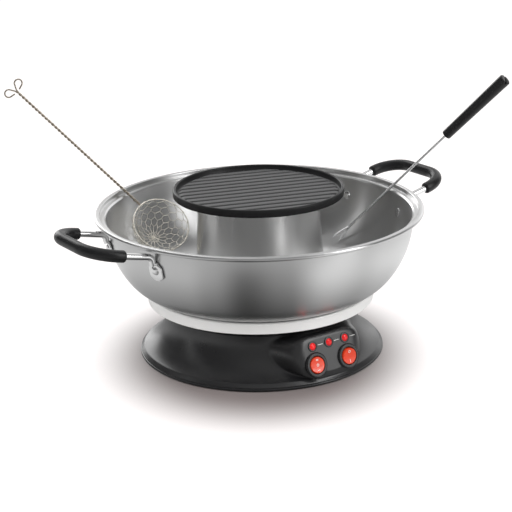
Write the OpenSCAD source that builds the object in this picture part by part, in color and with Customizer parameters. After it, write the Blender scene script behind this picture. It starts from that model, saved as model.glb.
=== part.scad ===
// Electric fondue set: a ring-shaped steel pan round an open chimney, a ribbed grill plate
// that sits on the chimney, and a heated base with two rocker switches and three lamps.
// A long fork and a wire strainer lean in the pan.
// Millimetres, +Z up. The origin is the centre of the underside on the table, the control
// panel faces -Y, and the pan's two handles lie along X.

/* [Pan] */
// Outer diameter over the rolled rim
rim_d = 300; // [298:1:302]
// Height of the rim above the table
rim_z = 135.3; // [135:0.1:136]
// Outer radius of the wall where it is widest
wall_r = 140.4; // [140:0.1:140.8]
// Height where the wall stands upright, below the rim
wall_top_z = 128; // [127.5:0.1:128.5]
// Radius of the wall's long upper curve
upper_arc_r = 85; // [84:0.5:86]
// Radius of the curve that rounds the wall into the floor
lower_arc_r = 47.5; // [47:0.5:48]
// Thickness of the pan's steel sheet
sheet_t = 1.0; // [0.8:0.1:1.2]
// Height of the lid seat, the ledge inside the rim
ledge_z = 131.4; // [131:0.1:131.8]
// Radius of the upright step between the lid seat and the rim
ledge_r = 145; // [144.6:0.1:145.5]

/* [Chimney] */
// Outer radius at the top, under the grill plate
chimney_top_r = 55; // [54.5:0.1:55.5]
// Outer radius at the floor of the pan
chimney_foot_r = 60.5; // [60:0.1:61]
// Width of the seat flange at the top and of the weld flange at the foot
chimney_flange = 4.5; // [4:0.5:5]

/* [Grill plate] */
// Outer radius of the plate
grill_r = 78; // [77:0.5:79]
// Height of the plate's rim above the table
grill_top_z = 154.5; // [154:0.1:155]
// Height of the plate's side
grill_h = 7.1; // [7:0.1:7.4]
// Height of the cooking face above the plate's underside
grill_floor_h = 2.0; // [1.8:0.1:2.4]
// Number of ribs
rib_count = 13; // [11:2:13]
// Distance from rib to rib
rib_pitch = 10.6; // [10.2:0.1:10.8]
// Height of a rib
rib_h = 1.6; // [1.4:0.1:1.8]
// Turn of the ribs from the line through the handles
rib_turn = -17.5; // [-30:0.5:30]

/* [Handles] */
// Half the distance between a handle's two legs
leg_y = 40; // [39:0.5:41]
// Distance from the bend at the pan to the outer bar
handle_reach = 51; // [50.5:0.5:52]
// Radius of the handle's two outer corners
corner_r = 25.5; // [24.5:0.5:26]
// Upward tilt of the handle
handle_tilt = 12.5; // [12:0.5:13]
// Diameter of the steel rod
rod_d = 5.8; // [5.6:0.1:6]
// Diameter of the grip over the rod
grip_d = 10.6; // [10.4:0.1:11]
// Length of bare rod between the bend and the grip
bare_leg = 22.5; // [21:0.5:23.5]

/* [Base] */
// Outer radius of the foot lip
base_r = 113.4; // [113:0.1:114]
// Radius of the waist under the seat ring
waist_r = 88; // [87:0.5:89]
// Height where the flare turns upright into the waist
waist_z = 40; // [39:0.5:41]
// Top of the base deck
deck_z = 50.5; // [50.3:0.1:50.7]
// Wall thickness of the moulding
wall_t = 2.6; // [2.2:0.1:2.8]
// Outer radius of the stainless seat ring
ring_r = 104.5; // [104:0.1:104.6]

/* [Control panel] */
// Distance of the lamp row from the centre
panel_y = 103.5; // [103:0.1:104]
// Height of the lamp row
panel_z = 34.8; // [34:0.1:35.2]
// Backward lean of the panel
panel_tilt = 18.5; // [18:0.1:19]
// Distance from lamp to lamp
lamp_pitch = 17.7; // [17:0.1:18.2]
// Distance of the switch row below the lamp row
switch_drop = 16.6; // [16.2:0.1:17]
// Half the distance between the two switches
switch_x = 17.6; // [17.2:0.1:18]
// Diameter of a switch's round bezel
bezel_d = 22.6; // [22:0.1:23]
// Tilt of a rocker to either side
rocker_tilt = 9; // [7:0.5:9]
// Half the width of the pod at its front
pod_half_w = 38; // [37:0.5:39]

/* [Fork] */
// Direction that the fork points in, seen from above
fork_azimuth = -62.7; // [-63.5:0.1:-62]
// Slope of the fork
fork_slope = 45.7; // [45.5:0.1:46.2]
// Length from the tine tips to the end of the handle
fork_length = 240; // [230:1:246]
// Length of the moulded handle
fork_handle_length = 79; // [70:1:85]
// Distance between the two tines
tine_gap = 7.2; // [6.6:0.1:7.4]

/* [Strainer] */
// Radius of the wire basket
basket_r = 27.5; // [26.5:0.1:27.5]
// Direction of the handle, seen from above
strainer_azimuth = 123.5; // [122:0.1:125]
// Slope of the handle
strainer_slope = 39; // [38:0.1:40]
// Turn of the basket's mouth about the handle
strainer_roll = -29; // [-32:0.5:-26]
// Distance from the basket's centre to the end of the twisted wires
strainer_reach = 190; // [180:1:195]
// Length along the handle in which the two wires turn once round each other
twist_pitch = 8.6; // [8:0.1:10]

/* [Hidden] */
$fn = 96;

// Small gap between two pieces that slide into each other and are then fixed
fit_gap = 0.05;
// Overlap that makes a cut run clean through
cut = 1;
// Tiny step where a round meets a flat
hair = 0.02;

// Pan: centres of the two curves of the wall, which meet on a 3-4-5 slope, and its underside
meet_n = [0.8, -0.6];
upper_c = [wall_r - upper_arc_r, wall_top_z];
lower_c = upper_c + (upper_arc_r - lower_arc_r) * meet_n;
floor_z = lower_c[1] - lower_arc_r;
rim_r = rim_d / 2;
bead_r = 1.8;

// Chimney and grill plate
grill_z = grill_top_z - grill_h;
cooking_z = grill_z + grill_floor_h;
grill_lip_r = 1.5;
grill_field_r = 72.5;
rib_foot_w = 8.6;
rib_crest_w = 7.2;
spigot_r = chimney_top_r - sheet_t - 0.6;
spigot_t = 3;
spigot_h = 6;

// Handles: where the rod bends at the pan, and its lugs and rivets
bend_r = 6;
handle_root = [142.5, 126.6];
rivet_z = 113;
rivet_drop = asin((wall_top_z - rivet_z) / upper_arc_r);
rivet_wall_r = upper_c[0] + upper_arc_r * cos(rivet_drop);
lug_azimuth = asin(leg_y / (rivet_wall_r + rod_d / 2));
lug_w = 15;
lug_h = 24;
lug_rise = 2.5;
lug_bite = 1.8;
lug_t = 2.2;
lug_corner_r = 6;
rivet_r = 2.5;
rivet_head_r = 4.6;
rivet_head_h = 2.2;

// Base: the flare is one arc that is upright at the waist and runs down into the foot lip
skirt_z = 1.2;
lip_edge_z = 2.8;
lip_r = 109.4;
lip_z = 7;
flare_r = 36.5;
flare_c = [waist_r + flare_r, waist_z];
deck_r = 98;
deck_t = 3;
deck_in_r = 91;
deck_edge = 1.5;
collar_z = 42;
plate_z = 2.2;
plate_t = 2;
plate_r = base_r - wall_t - 3;
boss_r = 4;
boss_ring_r = 68;
boss_count = 4;
screw_r = 1.3;
screw_l = 8;
screw_head_r = 3.1;
screw_head_h = 1;
screw_slot = 0.8;
pilot_depth = 12;
foot_ring_r = 92;
foot_turn = 45;
foot_r = 7.5;
foot_stem_r = 3;
foot_barb = 1.5;
column_r = 46;
column_t = 1.5;
column_flange = 10;
column_top_z = 138;
thermostat_at = [34, 60];
thermostat_r = 8;
terminal_y = 52;
gland_z = 18.5;
gland_face_y = 105;
gland_boss_r = 9;
gland_sleeve_r = 5.5;
cord_bore_r = 3.5;

// Grill element, on a disc at the top of the column
element_r = 36;
element_wire_r = 3.2;
element_gap = 24;
element_z = column_top_z + 5.6;
element_disc_edge = 2;
element_disc_t = 2;
sleeve_r = 4.4;
sleeve_drop = 30;

// Seat ring: its rolled edge stays clear of the pan that sits in it
ring_t = 1;
ring_roll_r = 1.5;
ring_roll_z = 59.4;
ring_flange_r = 90;
dish_t = 0.8;

// Control pod
pod_top_z = 43;
pod_back_y = 70;
pod_low_z = 2;
pod_setback = 0.3;
pod_splay_n = [0.936, -0.352];
pod_corner = [26, -101.4];
pod_corner_r = 12;
pod_brow_r = 5;
pivot_z = 0.4;
rocker_r = 8;
rocker_gap = 0.3;
rocker_top = 3.4;
rocker_bottom = -2.6;
bezel_h = 2.2;
bezel_bevel = 0.8;
switch_body_r = 9.9;
switch_depth = 16;
pin_r = 1.1;
pin_fit = 0.06;
pin_reach = 9.2;
lamp_r = 3.85;
lamp_flange_r = 4.7;
lamp_sleeve_r = 4.3;
lamp_sleeve_l = 6;
lamp_flange_h = 0.7;
lamp_proud = 0.4;

// Fork and strainer: where they stand, and their axes
fork_tip = [111.2, 29.3, 74.6];
strainer_c = [-49.3, 92.4, 105.2];
fork_dir = heading(fork_azimuth, fork_slope);
fork_roll = 53;
fork_across = cos(fork_roll) * beside(fork_dir) + sin(fork_roll) * above(fork_dir);
strainer_dir = heading(strainer_azimuth, strainer_slope);
mouth_dir = cos(strainer_roll) * above(strainer_dir) + sin(strainer_roll) * beside(strainer_dir);
fork_rod_r = 1.2;
tine_w = 1.8;
crotch_z = 10.2;
fork_plug = 20;
net_t = 0.9;
net_step = 14.5;
net_rings = 5;
mesh_r = 3.3;
rim_wire_r = 0.9;
strand_r = 0.75;
strand_lap = 0.93;
knot_r = 1.5;
hook_turn = -33;
bend_lead_r = 4;
bend_lead = 28;
hook_run = 4.8;
eye_r = 3.75;
eye_sweep = 228;
hook_tail = 4.8;

// Unit vector at a compass angle and a slope
function heading(azimuth, slope) =
    [cos(slope) * cos(azimuth), cos(slope) * sin(azimuth), sin(slope)];
// Level unit vector square to a direction
function beside(d) = cross(d, [0, 0, 1]) / norm(cross(d, [0, 0, 1]));
// Unit vector square to a direction and to its level one, pointing up
function above(d) = cross(beside(d), d);
// Placement with its origin, X axis and Z axis given
function placed(o, x, z) = let (y = cross(z, x)) [
    [x[0], y[0], z[0], o[0]],
    [x[1], y[1], z[1], o[1]],
    [x[2], y[2], z[2], o[2]],
    [0, 0, 0, 1]
];
// Depth of the panel's face at a height, as a distance in front of the centre
function panel_front(z, inset) =
    panel_y + (panel_z - z) * tan(panel_tilt) - inset / cos(panel_tilt);

// Shared shapes

// What lies outside a circle within a rectangle from one corner to the other
module outside_arc(c, r, low, high) {
    difference() {
        translate(low) square(high - low);
        translate(c) circle(r);
    }
}

module rounded_rect(w, h, r) {
    square([w - 2 * r, h], center = true);
    square([w, h - 2 * r], center = true);
    for (x = [-1, 1], y = [-1, 1]) translate([x * (w / 2 - r), y * (h / 2 - r)]) circle(r);
}

module ring(r_in, r_out, h) {
    difference() {
        cylinder(r = r_out, h = h);
        translate([0, 0, -cut]) cylinder(r = r_in, h = h + 2 * cut);
    }
}

// Frame on the panel's face: X across, Y up the slope, Z outwards
module on_panel(x, y) {
    translate([0, -panel_y, panel_z]) rotate([90 - panel_tilt, 0, 0]) translate([x, y, 0]) children();
}

// Frame at each rivet, with Z along the rivet, out of the pan's wall
module at_rivets(side) {
    for (s = [-1, 1]) rotate(side + s * lug_azimuth)
        translate([upper_c[0], 0, upper_c[1]]) rotate([0, rivet_drop, 0])
        translate([upper_arc_r, 0, 0]) rotate([0, 90, 0]) children();
}

// Pan: a spun sheet with a flat floor, two curves, a lid seat and a rolled rim

module pan_body_section(inset) {
    low = floor_z + inset;
    wide = wall_r + cut;
    meet_z = upper_c[1] + (upper_arc_r - inset) * meet_n[1];
    difference() {
        translate([0, low]) square([wide, wall_top_z - low]);
        outside_arc(lower_c, lower_arc_r - inset, [lower_c[0], low - cut], [wide + cut, meet_z]);
        outside_arc(upper_c, upper_arc_r - inset, [lower_c[0], meet_z], [wide + cut, wall_top_z + cut]);
    }
}

module pan_wall_section() {
    difference() {
        pan_body_section(0);
        pan_body_section(sheet_t);
        square([chimney_foot_r - sheet_t, rim_z]);
    }
}

module pan_rim_section() {
    t = sheet_t;
    wall_in = wall_r - t;
    polygon([
        [wall_in, wall_top_z], [wall_in, ledge_z - 1.5 * t], [wall_r + 0.5 * t, ledge_z],
        [ledge_r, ledge_z], [ledge_r, rim_z], [rim_r - bead_r, rim_z],
        [rim_r - bead_r, rim_z - t], [ledge_r + t, rim_z - t], [ledge_r + t, ledge_z - t],
        [wall_r + t, ledge_z - t], [wall_r, ledge_z - 2 * t], [wall_r, wall_top_z]
    ]);
    translate([rim_r - bead_r, rim_z - bead_r - hair]) circle(bead_r);
}

module pan_bowl() {
    color("gainsboro") difference() {
        union() {
            rotate_extrude() pan_wall_section();
            rotate_extrude() pan_rim_section();
        }
        for (side = [0, 180]) at_rivets(side)
            cylinder(r = rivet_r + fit_gap, h = 6 * sheet_t, center = true);
    }
}

module pan_chimney() {
    t = sheet_t;
    foot_z = floor_z + t;
    color("silver") rotate_extrude() polygon([
        [chimney_foot_r - t, foot_z], [chimney_foot_r + chimney_flange, foot_z],
        [chimney_foot_r + chimney_flange, foot_z + t], [chimney_foot_r, foot_z + t],
        [chimney_top_r, grill_z - t], [chimney_top_r + chimney_flange, grill_z - t],
        [chimney_top_r + chimney_flange, grill_z], [chimney_top_r - t, grill_z]
    ]);
}

// Handles: a bent rod with flat lugs riveted to the wall, and a moulded grip

module handle_loop(d, start) {
    straight = handle_reach - corner_r - start;
    translate([handle_root[0], 0, handle_root[1]]) rotate([0, -handle_tilt, 0]) {
        for (s = [-1, 1]) {
            translate([start, s * leg_y, 0]) rotate([0, 90, 0]) cylinder(d = d, h = straight);
            translate([handle_reach - corner_r, s * (leg_y - corner_r), 0])
                rotate(s > 0 ? 0 : -90) rotate_extrude(angle = 90) translate([corner_r, 0]) circle(d = d);
        }
        translate([handle_reach, 0, 0]) rotate([90, 0, 0])
            cylinder(d = d, h = 2 * (leg_y - corner_r), center = true);
    }
}

module handle_rod(side) {
    color("silver") difference() {
        union() {
            rotate(side) handle_loop(rod_d, 0);
            rotate(side) for (s = [-1, 1])
                translate([handle_root[0], s * leg_y, handle_root[1]]) rotate([0, -handle_tilt, 0])
                translate([0, 0, -bend_r]) rotate([90, 0, 0]) rotate(90)
                rotate_extrude(angle = 90) translate([bend_r, 0]) circle(d = rod_d);
            at_rivets(side) translate([-lug_rise, 0, -lug_bite])
                linear_extrude(lug_t + lug_bite) rounded_rect(lug_h, lug_w, lug_corner_r);
        }
        rotate_extrude($fn = 240) pan_body_section(-fit_gap);
        at_rivets(side) cylinder(r = rivet_r + fit_gap, h = 8 * lug_t, center = true);
    }
}

module left_handle_rod() { handle_rod(180); }
module right_handle_rod() { handle_rod(0); }

module grip(side) {
    color("#222222") rotate(side) difference() {
        handle_loop(grip_d, bare_leg);
        handle_loop(rod_d + 2 * fit_gap, bare_leg - cut);
    }
}

module left_grip() { grip(180); }
module right_grip() { grip(0); }

// One rivet: a domed head on the lug, a shank, and a flat head inside the pan
module rivet() {
    dome_r = (rivet_head_r * rivet_head_r + rivet_head_h * rivet_head_h) / (2 * rivet_head_h);
    inner_h = 1.2;
    inner_r = rivet_head_r - 0.8;
    inner_seat = -sheet_t - 0.12;
    translate([0, 0, lug_t]) intersection() {
        translate([0, 0, rivet_head_h - dome_r]) sphere(dome_r);
        cylinder(r = rivet_head_r, h = rivet_head_h);
    }
    translate([0, 0, inner_seat]) cylinder(r = rivet_r, h = lug_t - inner_seat);
    translate([0, 0, inner_seat - inner_h]) cylinder(r1 = inner_r, r2 = inner_r + inner_h / 2, h = inner_h);
}

module handle_rivets() {
    color("white") for (side = [0, 180]) at_rivets(side) rivet();
}

// Grill plate: a cast dish with a raised lip, ribs, and a spigot that drops into the chimney

module grill_section() {
    lip_in = grill_r - 2 * grill_lip_r;
    bead_z = grill_top_z - grill_lip_r;
    polygon([
        [0, grill_z], [grill_r - 1, grill_z], [grill_r, grill_z + 1], [grill_r, bead_z],
        [lip_in, bead_z], [lip_in - 1.2, cooking_z], [0, cooking_z]
    ]);
    translate([grill_r - grill_lip_r, bead_z]) circle(grill_lip_r);
    translate([spigot_r - spigot_t, grill_z - spigot_h]) square([spigot_t, spigot_h + grill_floor_h / 2]);
}

module grill_ribs() {
    sink = grill_floor_h / 4;
    intersection() {
        translate([0, 0, cooking_z - sink]) cylinder(r = grill_field_r, h = rib_h + 2 * sink);
        for (i = [0 : rib_count - 1]) translate([0, (i - (rib_count - 1) / 2) * rib_pitch, cooking_z])
            rotate([90, 0, 90]) linear_extrude(2 * grill_r, center = true) polygon([
                [-rib_foot_w / 2, -sink], [rib_foot_w / 2, -sink],
                [rib_crest_w / 2, rib_h], [-rib_crest_w / 2, rib_h]
            ]);
    }
}

module grill_plate() {
    color("#2b2b2c") union() {
        rotate_extrude() grill_section();
        rotate(rib_turn) grill_ribs();
    }
}

// Base: a flared moulding with a control pod, closed from below by a plate

module flare_cut(r) {
    difference() {
        translate(flare_c) circle(r);
        translate([0, waist_z]) square([2 * base_r, base_r]);
    }
}

module flare_section() {
    difference() {
        polygon([
            [0, skirt_z], [base_r, skirt_z], [base_r, lip_edge_z], [lip_r, lip_z], [lip_r, waist_z],
            [waist_r, waist_z], [waist_r, collar_z], [deck_r, deck_z - deck_edge], [deck_r, deck_z],
            [0, deck_z]
        ]);
        flare_cut(flare_r);
    }
}

module flare_inside_section() {
    w = wall_t;
    half = w / 2;
    ceiling_z = deck_z - deck_t;
    difference() {
        polygon([
            [0, skirt_z - cut], [base_r - w, skirt_z - cut], [base_r - w, lip_edge_z - half],
            [lip_r - half, lip_z - w], [lip_r - half, waist_z], [waist_r - w, waist_z],
            [waist_r - w, collar_z + half], [deck_in_r, ceiling_z], [0, ceiling_z]
        ]);
        flare_cut(flare_r + w);
    }
}

// Outline with rounded front corners, each a circle that stands a hair proud of both sides
module pod_plan(inset) {
    r = pod_corner_r - inset;
    side = pod_corner + r * pod_splay_n;
    slope = -pod_splay_n[1] / pod_splay_n[0];
    front_y = pod_corner[1] - r;
    back_x = side[0] + (-pod_back_y - side[1]) * slope;
    front_x = side[0] + (front_y - side[1]) * slope;
    difference() {
        polygon([
            [back_x, -pod_back_y], [front_x, front_y], [-front_x, front_y], [-back_x, -pod_back_y]
        ]);
        for (s = [-1, 1]) difference() {
            polygon([
                [s * pod_corner[0], pod_corner[1]], [s * pod_corner[0], front_y - 2 * r],
                [s * (side[0] + 2 * r), front_y - 2 * r],
                [s * (pod_corner[0] + 3 * r * pod_splay_n[0]), pod_corner[1] + 3 * r * pod_splay_n[1]]
            ]);
            translate([s * pod_corner[0], pod_corner[1]]) circle(r + hair);
        }
    }
}

// Side view: the leaning panel, a rounded brow and a level top
module pod_profile(inset) {
    top = pod_top_z - inset;
    low = inset > 0 ? skirt_z - cut : pod_low_z;
    r = pod_brow_r - inset;
    c = [r / cos(panel_tilt) - panel_front(top - r, inset), top - r];
    n = [-cos(panel_tilt), sin(panel_tilt)];
    difference() {
        polygon([
            [-panel_front(low, inset), low], [-panel_front(top, inset), top],
            [-pod_back_y, top], [-pod_back_y, low]
        ]);
        difference() {
            polygon([c, c + 3 * r * n, c + [-3 * r, 3 * r], c + [0, 3 * r]]);
            translate(c) circle(r + hair);
        }
    }
}

module pod(inset) {
    intersection() {
        linear_extrude(pod_top_z + cut) pod_plan(inset);
        rotate([90, 0, 90]) linear_extrude(4 * pod_half_w, center = true) pod_profile(inset);
        translate([0, 0, -cut]) cylinder(r = base_r - inset - pod_setback, h = pod_top_z + 2 * cut);
    }
}

module around(r, count, turn) {
    for (i = [0 : count - 1]) rotate(turn + i * 360 / count) translate([r, 0, 0]) children();
}

module base_shell() {
    color("#1c1c1d") difference() {
        union() {
            difference() {
                union() {
                    rotate_extrude() flare_section();
                    pod(0);
                    translate([0, gland_face_y, gland_z]) rotate([90, 0, 0])
                        cylinder(r = gland_boss_r, h = gland_face_y - waist_r);
                }
                rotate_extrude() flare_inside_section();
                pod(wall_t);
            }
            around(boss_ring_r, boss_count, 0) translate([0, 0, plate_z + plate_t])
                cylinder(r = boss_r, h = deck_z - deck_t - plate_z - plate_t + cut);
        }
        translate([0, 0, deck_z - 2 * deck_t]) cylinder(r = column_r + fit_gap, h = 3 * deck_t);
        translate(thermostat_at) translate([0, 0, deck_z - 2 * deck_t])
            cylinder(r = thermostat_r + fit_gap, h = 3 * deck_t);
        around(boss_ring_r, boss_count, 0) translate([0, 0, plate_z]) cylinder(r = screw_r, h = plate_t + pilot_depth);
        for (s = [-1, 1]) on_panel(s * switch_x, -switch_drop)
            cylinder(r = switch_body_r + fit_gap, h = 4 * wall_t, center = true);
        for (i = [-1 : 1]) on_panel(i * lamp_pitch, 0)
            cylinder(r = lamp_sleeve_r + fit_gap, h = 4 * wall_t, center = true);
        translate([0, gland_face_y + cut, gland_z]) rotate([90, 0, 0])
            cylinder(r = gland_sleeve_r + fit_gap, h = 4 * gland_boss_r);
    }
}

module base_plate() {
    slot_w = 3;
    slot_l = 26;
    slot_count = 12;
    slot_ring_r = 28;
    color("#2a2a2a") translate([0, 0, plate_z]) difference() {
        cylinder(r = plate_r, h = plate_t);
        around(boss_ring_r, boss_count, 0) translate([0, 0, -cut]) cylinder(r = screw_r + 0.4, h = plate_t + 2 * cut);
        around(boss_ring_r, boss_count, 0) translate([0, 0, -cut]) cylinder(r = screw_head_r + 0.3, h = cut + screw_head_h);
        around(foot_ring_r, 4, foot_turn) translate([0, 0, -cut])
            cylinder(r = foot_stem_r + fit_gap, h = plate_t + 2 * cut);
        around(slot_ring_r, slot_count, 180 / slot_count) translate([0, 0, -cut])
            linear_extrude(plate_t + 2 * cut) rounded_rect(slot_l, slot_w, slot_w / 2 - hair);
    }
}

module rubber_feet() {
    color("#151515") around(foot_ring_r, 4, foot_turn) {
        cylinder(r1 = foot_r - 1, r2 = foot_r, h = plate_z);
        cylinder(r = foot_stem_r, h = plate_z + plate_t);
        translate([0, 0, plate_z + plate_t]) cylinder(r1 = foot_stem_r + 1, r2 = foot_stem_r, h = foot_barb);
    }
}

module cover_screws() {
    color("lightgray") around(boss_ring_r, boss_count, 0) translate([0, 0, plate_z]) {
        difference() {
            cylinder(r = screw_head_r, h = screw_head_h);
            cube([2 * screw_head_r + cut, screw_slot, screw_head_h], center = true);
        }
        cylinder(r = screw_r - fit_gap, h = plate_t + screw_l);
    }
}

// Cord entry: a collar outside, a sleeve through the wall and a tapered nose inside
module cord_gland() {
    collar_h = 2;
    sleeve_l = 14;
    nose_l = 3;
    color("#181818") translate([0, gland_face_y, gland_z]) rotate([90, 0, 0]) difference() {
        union() {
            translate([0, 0, -collar_h]) cylinder(r1 = gland_boss_r - 2.2, r2 = gland_boss_r - 1, h = collar_h);
            cylinder(r = gland_sleeve_r, h = sleeve_l);
            translate([0, 0, sleeve_l]) cylinder(r1 = gland_sleeve_r, r2 = gland_sleeve_r - 1, h = nose_l);
        }
        translate([0, 0, -collar_h - cut]) cylinder(r = cord_bore_r, h = collar_h + sleeve_l + nose_l + 2 * cut);
    }
}

module terminal_block() {
    body = [42, 16, 13];
    ways = 5;
    way_pitch = 8;
    screw_depth = 6;
    color("ivory") translate([0, terminal_y, plate_z + plate_t]) difference() {
        translate([-body[0] / 2, -body[1] / 2, 0]) cube(body);
        for (i = [0 : ways - 1]) translate([(i - (ways - 1) / 2) * way_pitch, 0, body[2] - screw_depth]) {
            cylinder(r = 2, h = screw_depth + cut);
            rotate([90, 0, 0]) cylinder(r = 1.6, h = body[1] + 2 * cut, center = true);
        }
    }
}

// Two flat blade terminals behind a switch or thermostat, standing down from the origin
module blade_terminals(length) {
    blade = [0.8, 6];
    for (s = [-1, 1]) translate([s * 4 - blade[0] / 2, -blade[1] / 2, -length]) cube([blade[0], blade[1], length]);
}

module pan_thermostat() {
    depth = 6;
    color("beige") translate(thermostat_at) translate([0, 0, deck_z]) {
        translate([0, 0, -depth]) cylinder(r = thermostat_r, h = depth + ring_t);
        translate([0, 0, -depth]) blade_terminals(8);
    }
}

module seat_ring() {
    color("lightgray") rotate_extrude() {
        translate([ring_flange_r, deck_z]) square([ring_r - ring_flange_r, ring_t]);
        translate([ring_r - ring_t, deck_z]) square([ring_t, ring_roll_z - deck_z]);
        translate([ring_r - ring_roll_r, ring_roll_z]) circle(ring_roll_r);
    }
}

module heat_dish() {
    low = deck_z + ring_t;
    inner_r = column_r + column_flange + 1;
    outer_r = ring_r - 4;
    rise = 3;
    color("silver") rotate_extrude() polygon([
        [inner_r, low], [outer_r - rise, low], [outer_r, low + rise], [outer_r - dish_t, low + rise + dish_t / 2],
        [outer_r - rise - dish_t / 2, low + dish_t], [inner_r, low + dish_t]
    ]);
}

module pan_hot_plate() {
    low = deck_z + ring_t + dish_t;
    inner_r = 60;
    outer_r = 86;
    draft = 2;
    color("#6b6b6d") rotate_extrude() polygon([
        [inner_r, low], [outer_r, low], [outer_r - draft, floor_z], [inner_r + draft, floor_z]
    ]);
}

module column_tube() {
    color("gainsboro") {
        translate([0, 0, deck_z]) ring(column_r - column_t, column_r + column_flange, ring_t);
        translate([0, 0, deck_z - 2 * deck_t]) ring(column_r - column_t, column_r, column_top_z - deck_z + 2 * deck_t);
    }
}

// Places of the two upright sleeves that hold the ends of the element
module at_element_ends() {
    for (s = [-1, 1]) rotate(s * element_gap) translate([element_r, 0, column_top_z - sleeve_drop]) children();
}

module element_disc() {
    color("whitesmoke") difference() {
        translate([0, 0, column_top_z]) cylinder(r = column_r + element_disc_edge, h = element_disc_t);
        at_element_ends() cylinder(r = sleeve_r + fit_gap, h = 2 * sleeve_drop);
    }
}

// Tubular element: a ring with a gap, whose two ends are set in upright sleeves
module grill_element() {
    color("dimgray") {
        translate([0, 0, element_z]) rotate(element_gap) rotate_extrude(angle = 360 - 2 * element_gap)
            translate([element_r, 0]) circle(element_wire_r);
        at_element_ends() cylinder(r = sleeve_r, h = element_z + element_wire_r - column_top_z + sleeve_drop);
    }
}

// Round rocker switches: a bezel with a body behind the panel, and a rocker on two pins

module switch_body(x) {
    bore_r = rocker_r + rocker_gap;
    well = 6;
    color("#101010") on_panel(x, -switch_drop) difference() {
        union() {
            cylinder(d1 = bezel_d, d2 = bezel_d - 2 * bezel_bevel, h = bezel_h);
            translate([0, 0, -switch_depth]) cylinder(r = switch_body_r, h = switch_depth);
            translate([0, 0, -switch_depth]) blade_terminals(7);
        }
        translate([0, 0, -well]) cylinder(r = bore_r, h = well + bezel_h + cut);
        translate([0, 0, pivot_z]) rotate([0, 90, 0])
            cylinder(r = pin_r + pin_fit, h = 2 * (pin_reach + rocker_gap), center = true);
    }
}

module left_switch_body() { switch_body(-switch_x); }
module right_switch_body() { switch_body(switch_x); }

module rocker(x, tilt) {
    dish_r = 30;
    dish_depth = 0.8;
    color("orangered") on_panel(x, -switch_drop) translate([0, 0, pivot_z]) rotate([tilt, 0, 0]) {
        difference() {
            intersection() {
                sphere(rocker_r);
                translate([0, 0, rocker_bottom - pivot_z]) cylinder(r = rocker_r, h = rocker_top - rocker_bottom);
            }
            translate([0, 0, rocker_top - pivot_z - dish_depth + dish_r]) rotate([0, 90, 0])
                cylinder(r = dish_r, h = 3 * rocker_r, center = true);
        }
        rotate([0, 90, 0]) cylinder(r = pin_r, h = 2 * pin_reach, center = true);
    }
}

module left_rocker() { rocker(-switch_x, 0); }
module right_rocker() { rocker(switch_x, rocker_tilt); }

// Signal lamps: a black holder clipped in the panel with a red lens

module lamp_holders() {
    color("#0d0d0d") for (i = [-1 : 1]) on_panel(i * lamp_pitch, 0) {
        ring(lamp_r + fit_gap, lamp_flange_r, lamp_flange_h);
        translate([0, 0, -lamp_sleeve_l]) ring(lamp_r + fit_gap, lamp_sleeve_r, lamp_sleeve_l);
    }
}

module lamp(i) {
    dome_h = 1.4;
    dome_r = (lamp_r * lamp_r + dome_h * dome_h) / (2 * dome_h);
    color("red") on_panel(i * lamp_pitch, 0) {
        translate([0, 0, -lamp_sleeve_l - 2]) cylinder(r = lamp_r, h = lamp_sleeve_l + 2 + lamp_proud);
        translate([0, 0, lamp_proud]) intersection() {
            translate([0, 0, dome_h - dome_r]) sphere(dome_r);
            cylinder(r = lamp_r, h = dome_h);
        }
    }
}

module left_lamp() { lamp(-1); }
module middle_lamp() { lamp(0); }
module right_lamp() { lamp(1); }

// Fork: a steel rod with a flat two-pronged blade, in a moulded handle

module fork_frame() {
    multmatrix(placed(fork_tip, fork_across, fork_dir)) children();
}

// Outline of the blade, tips at the bottom: two tines that grow together into the neck
module fork_blade_outline(neck_z) {
    half = tine_gap / 2;
    edge = tine_w / 2;
    shoulder_z = 3;
    neck = 0.9;
    slot_r = 0.8;
    difference() {
        polygon([
            [neck, neck_z], [half + edge, shoulder_z], [half, 0], [half - edge, shoulder_z],
            [slot_r, crotch_z], [-slot_r, crotch_z],
            [edge - half, shoulder_z], [-half, 0], [-half - edge, shoulder_z], [-neck, neck_z]
        ]);
        translate([0, crotch_z]) circle(slot_r + hair);
    }
}

module fork_rod() {
    blade_t = 1.3;
    blade_l = 21;
    taper_z = 14;
    rod_z = 20;
    color("silver") fork_frame() {
        rotate([90, 0, 0]) linear_extrude(blade_t, center = true) fork_blade_outline(blade_l);
        translate([0, 0, taper_z]) cylinder(r1 = fork_rod_r / 2, r2 = fork_rod_r, h = rod_z - taper_z);
        translate([0, 0, rod_z]) cylinder(r = fork_rod_r, h = fork_length - fork_plug - rod_z);
    }
}

// Tapered handle moulded on the rod, with a coloured mark's groove across its end
module fork_handle() {
    start = fork_length - fork_handle_length;
    small_r = 4.6;
    large_r = 5.5;
    edge = 0.5;
    crown = 0.6;
    groove = 1.6;
    color("#1a1a1a") fork_frame() difference() {
        rotate_extrude() polygon([
            [0, start], [small_r - edge, start], [small_r, start + edge], [large_r, fork_length - 4 * crown],
            [large_r, fork_length - crown], [large_r - crown, fork_length], [0, fork_length]
        ]);
        cylinder(r = fork_rod_r + fit_gap, h = fork_length - fork_plug);
        translate([0, 0, fork_length]) cube([groove, 4 * large_r, 2 * groove], center = true);
    }
}

// Strainer: a hemisphere of hexagonal wire mesh on a rim wire, with a twisted handle

module strainer_frame() {
    multmatrix(placed(strainer_c, strainer_dir, mouth_dir)) children();
}

module strainer_rim() {
    color("#b9ad8f") strainer_frame() rotate_extrude()
        translate([basket_r - net_t / 2, 0]) circle(rim_wire_r);
}

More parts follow.
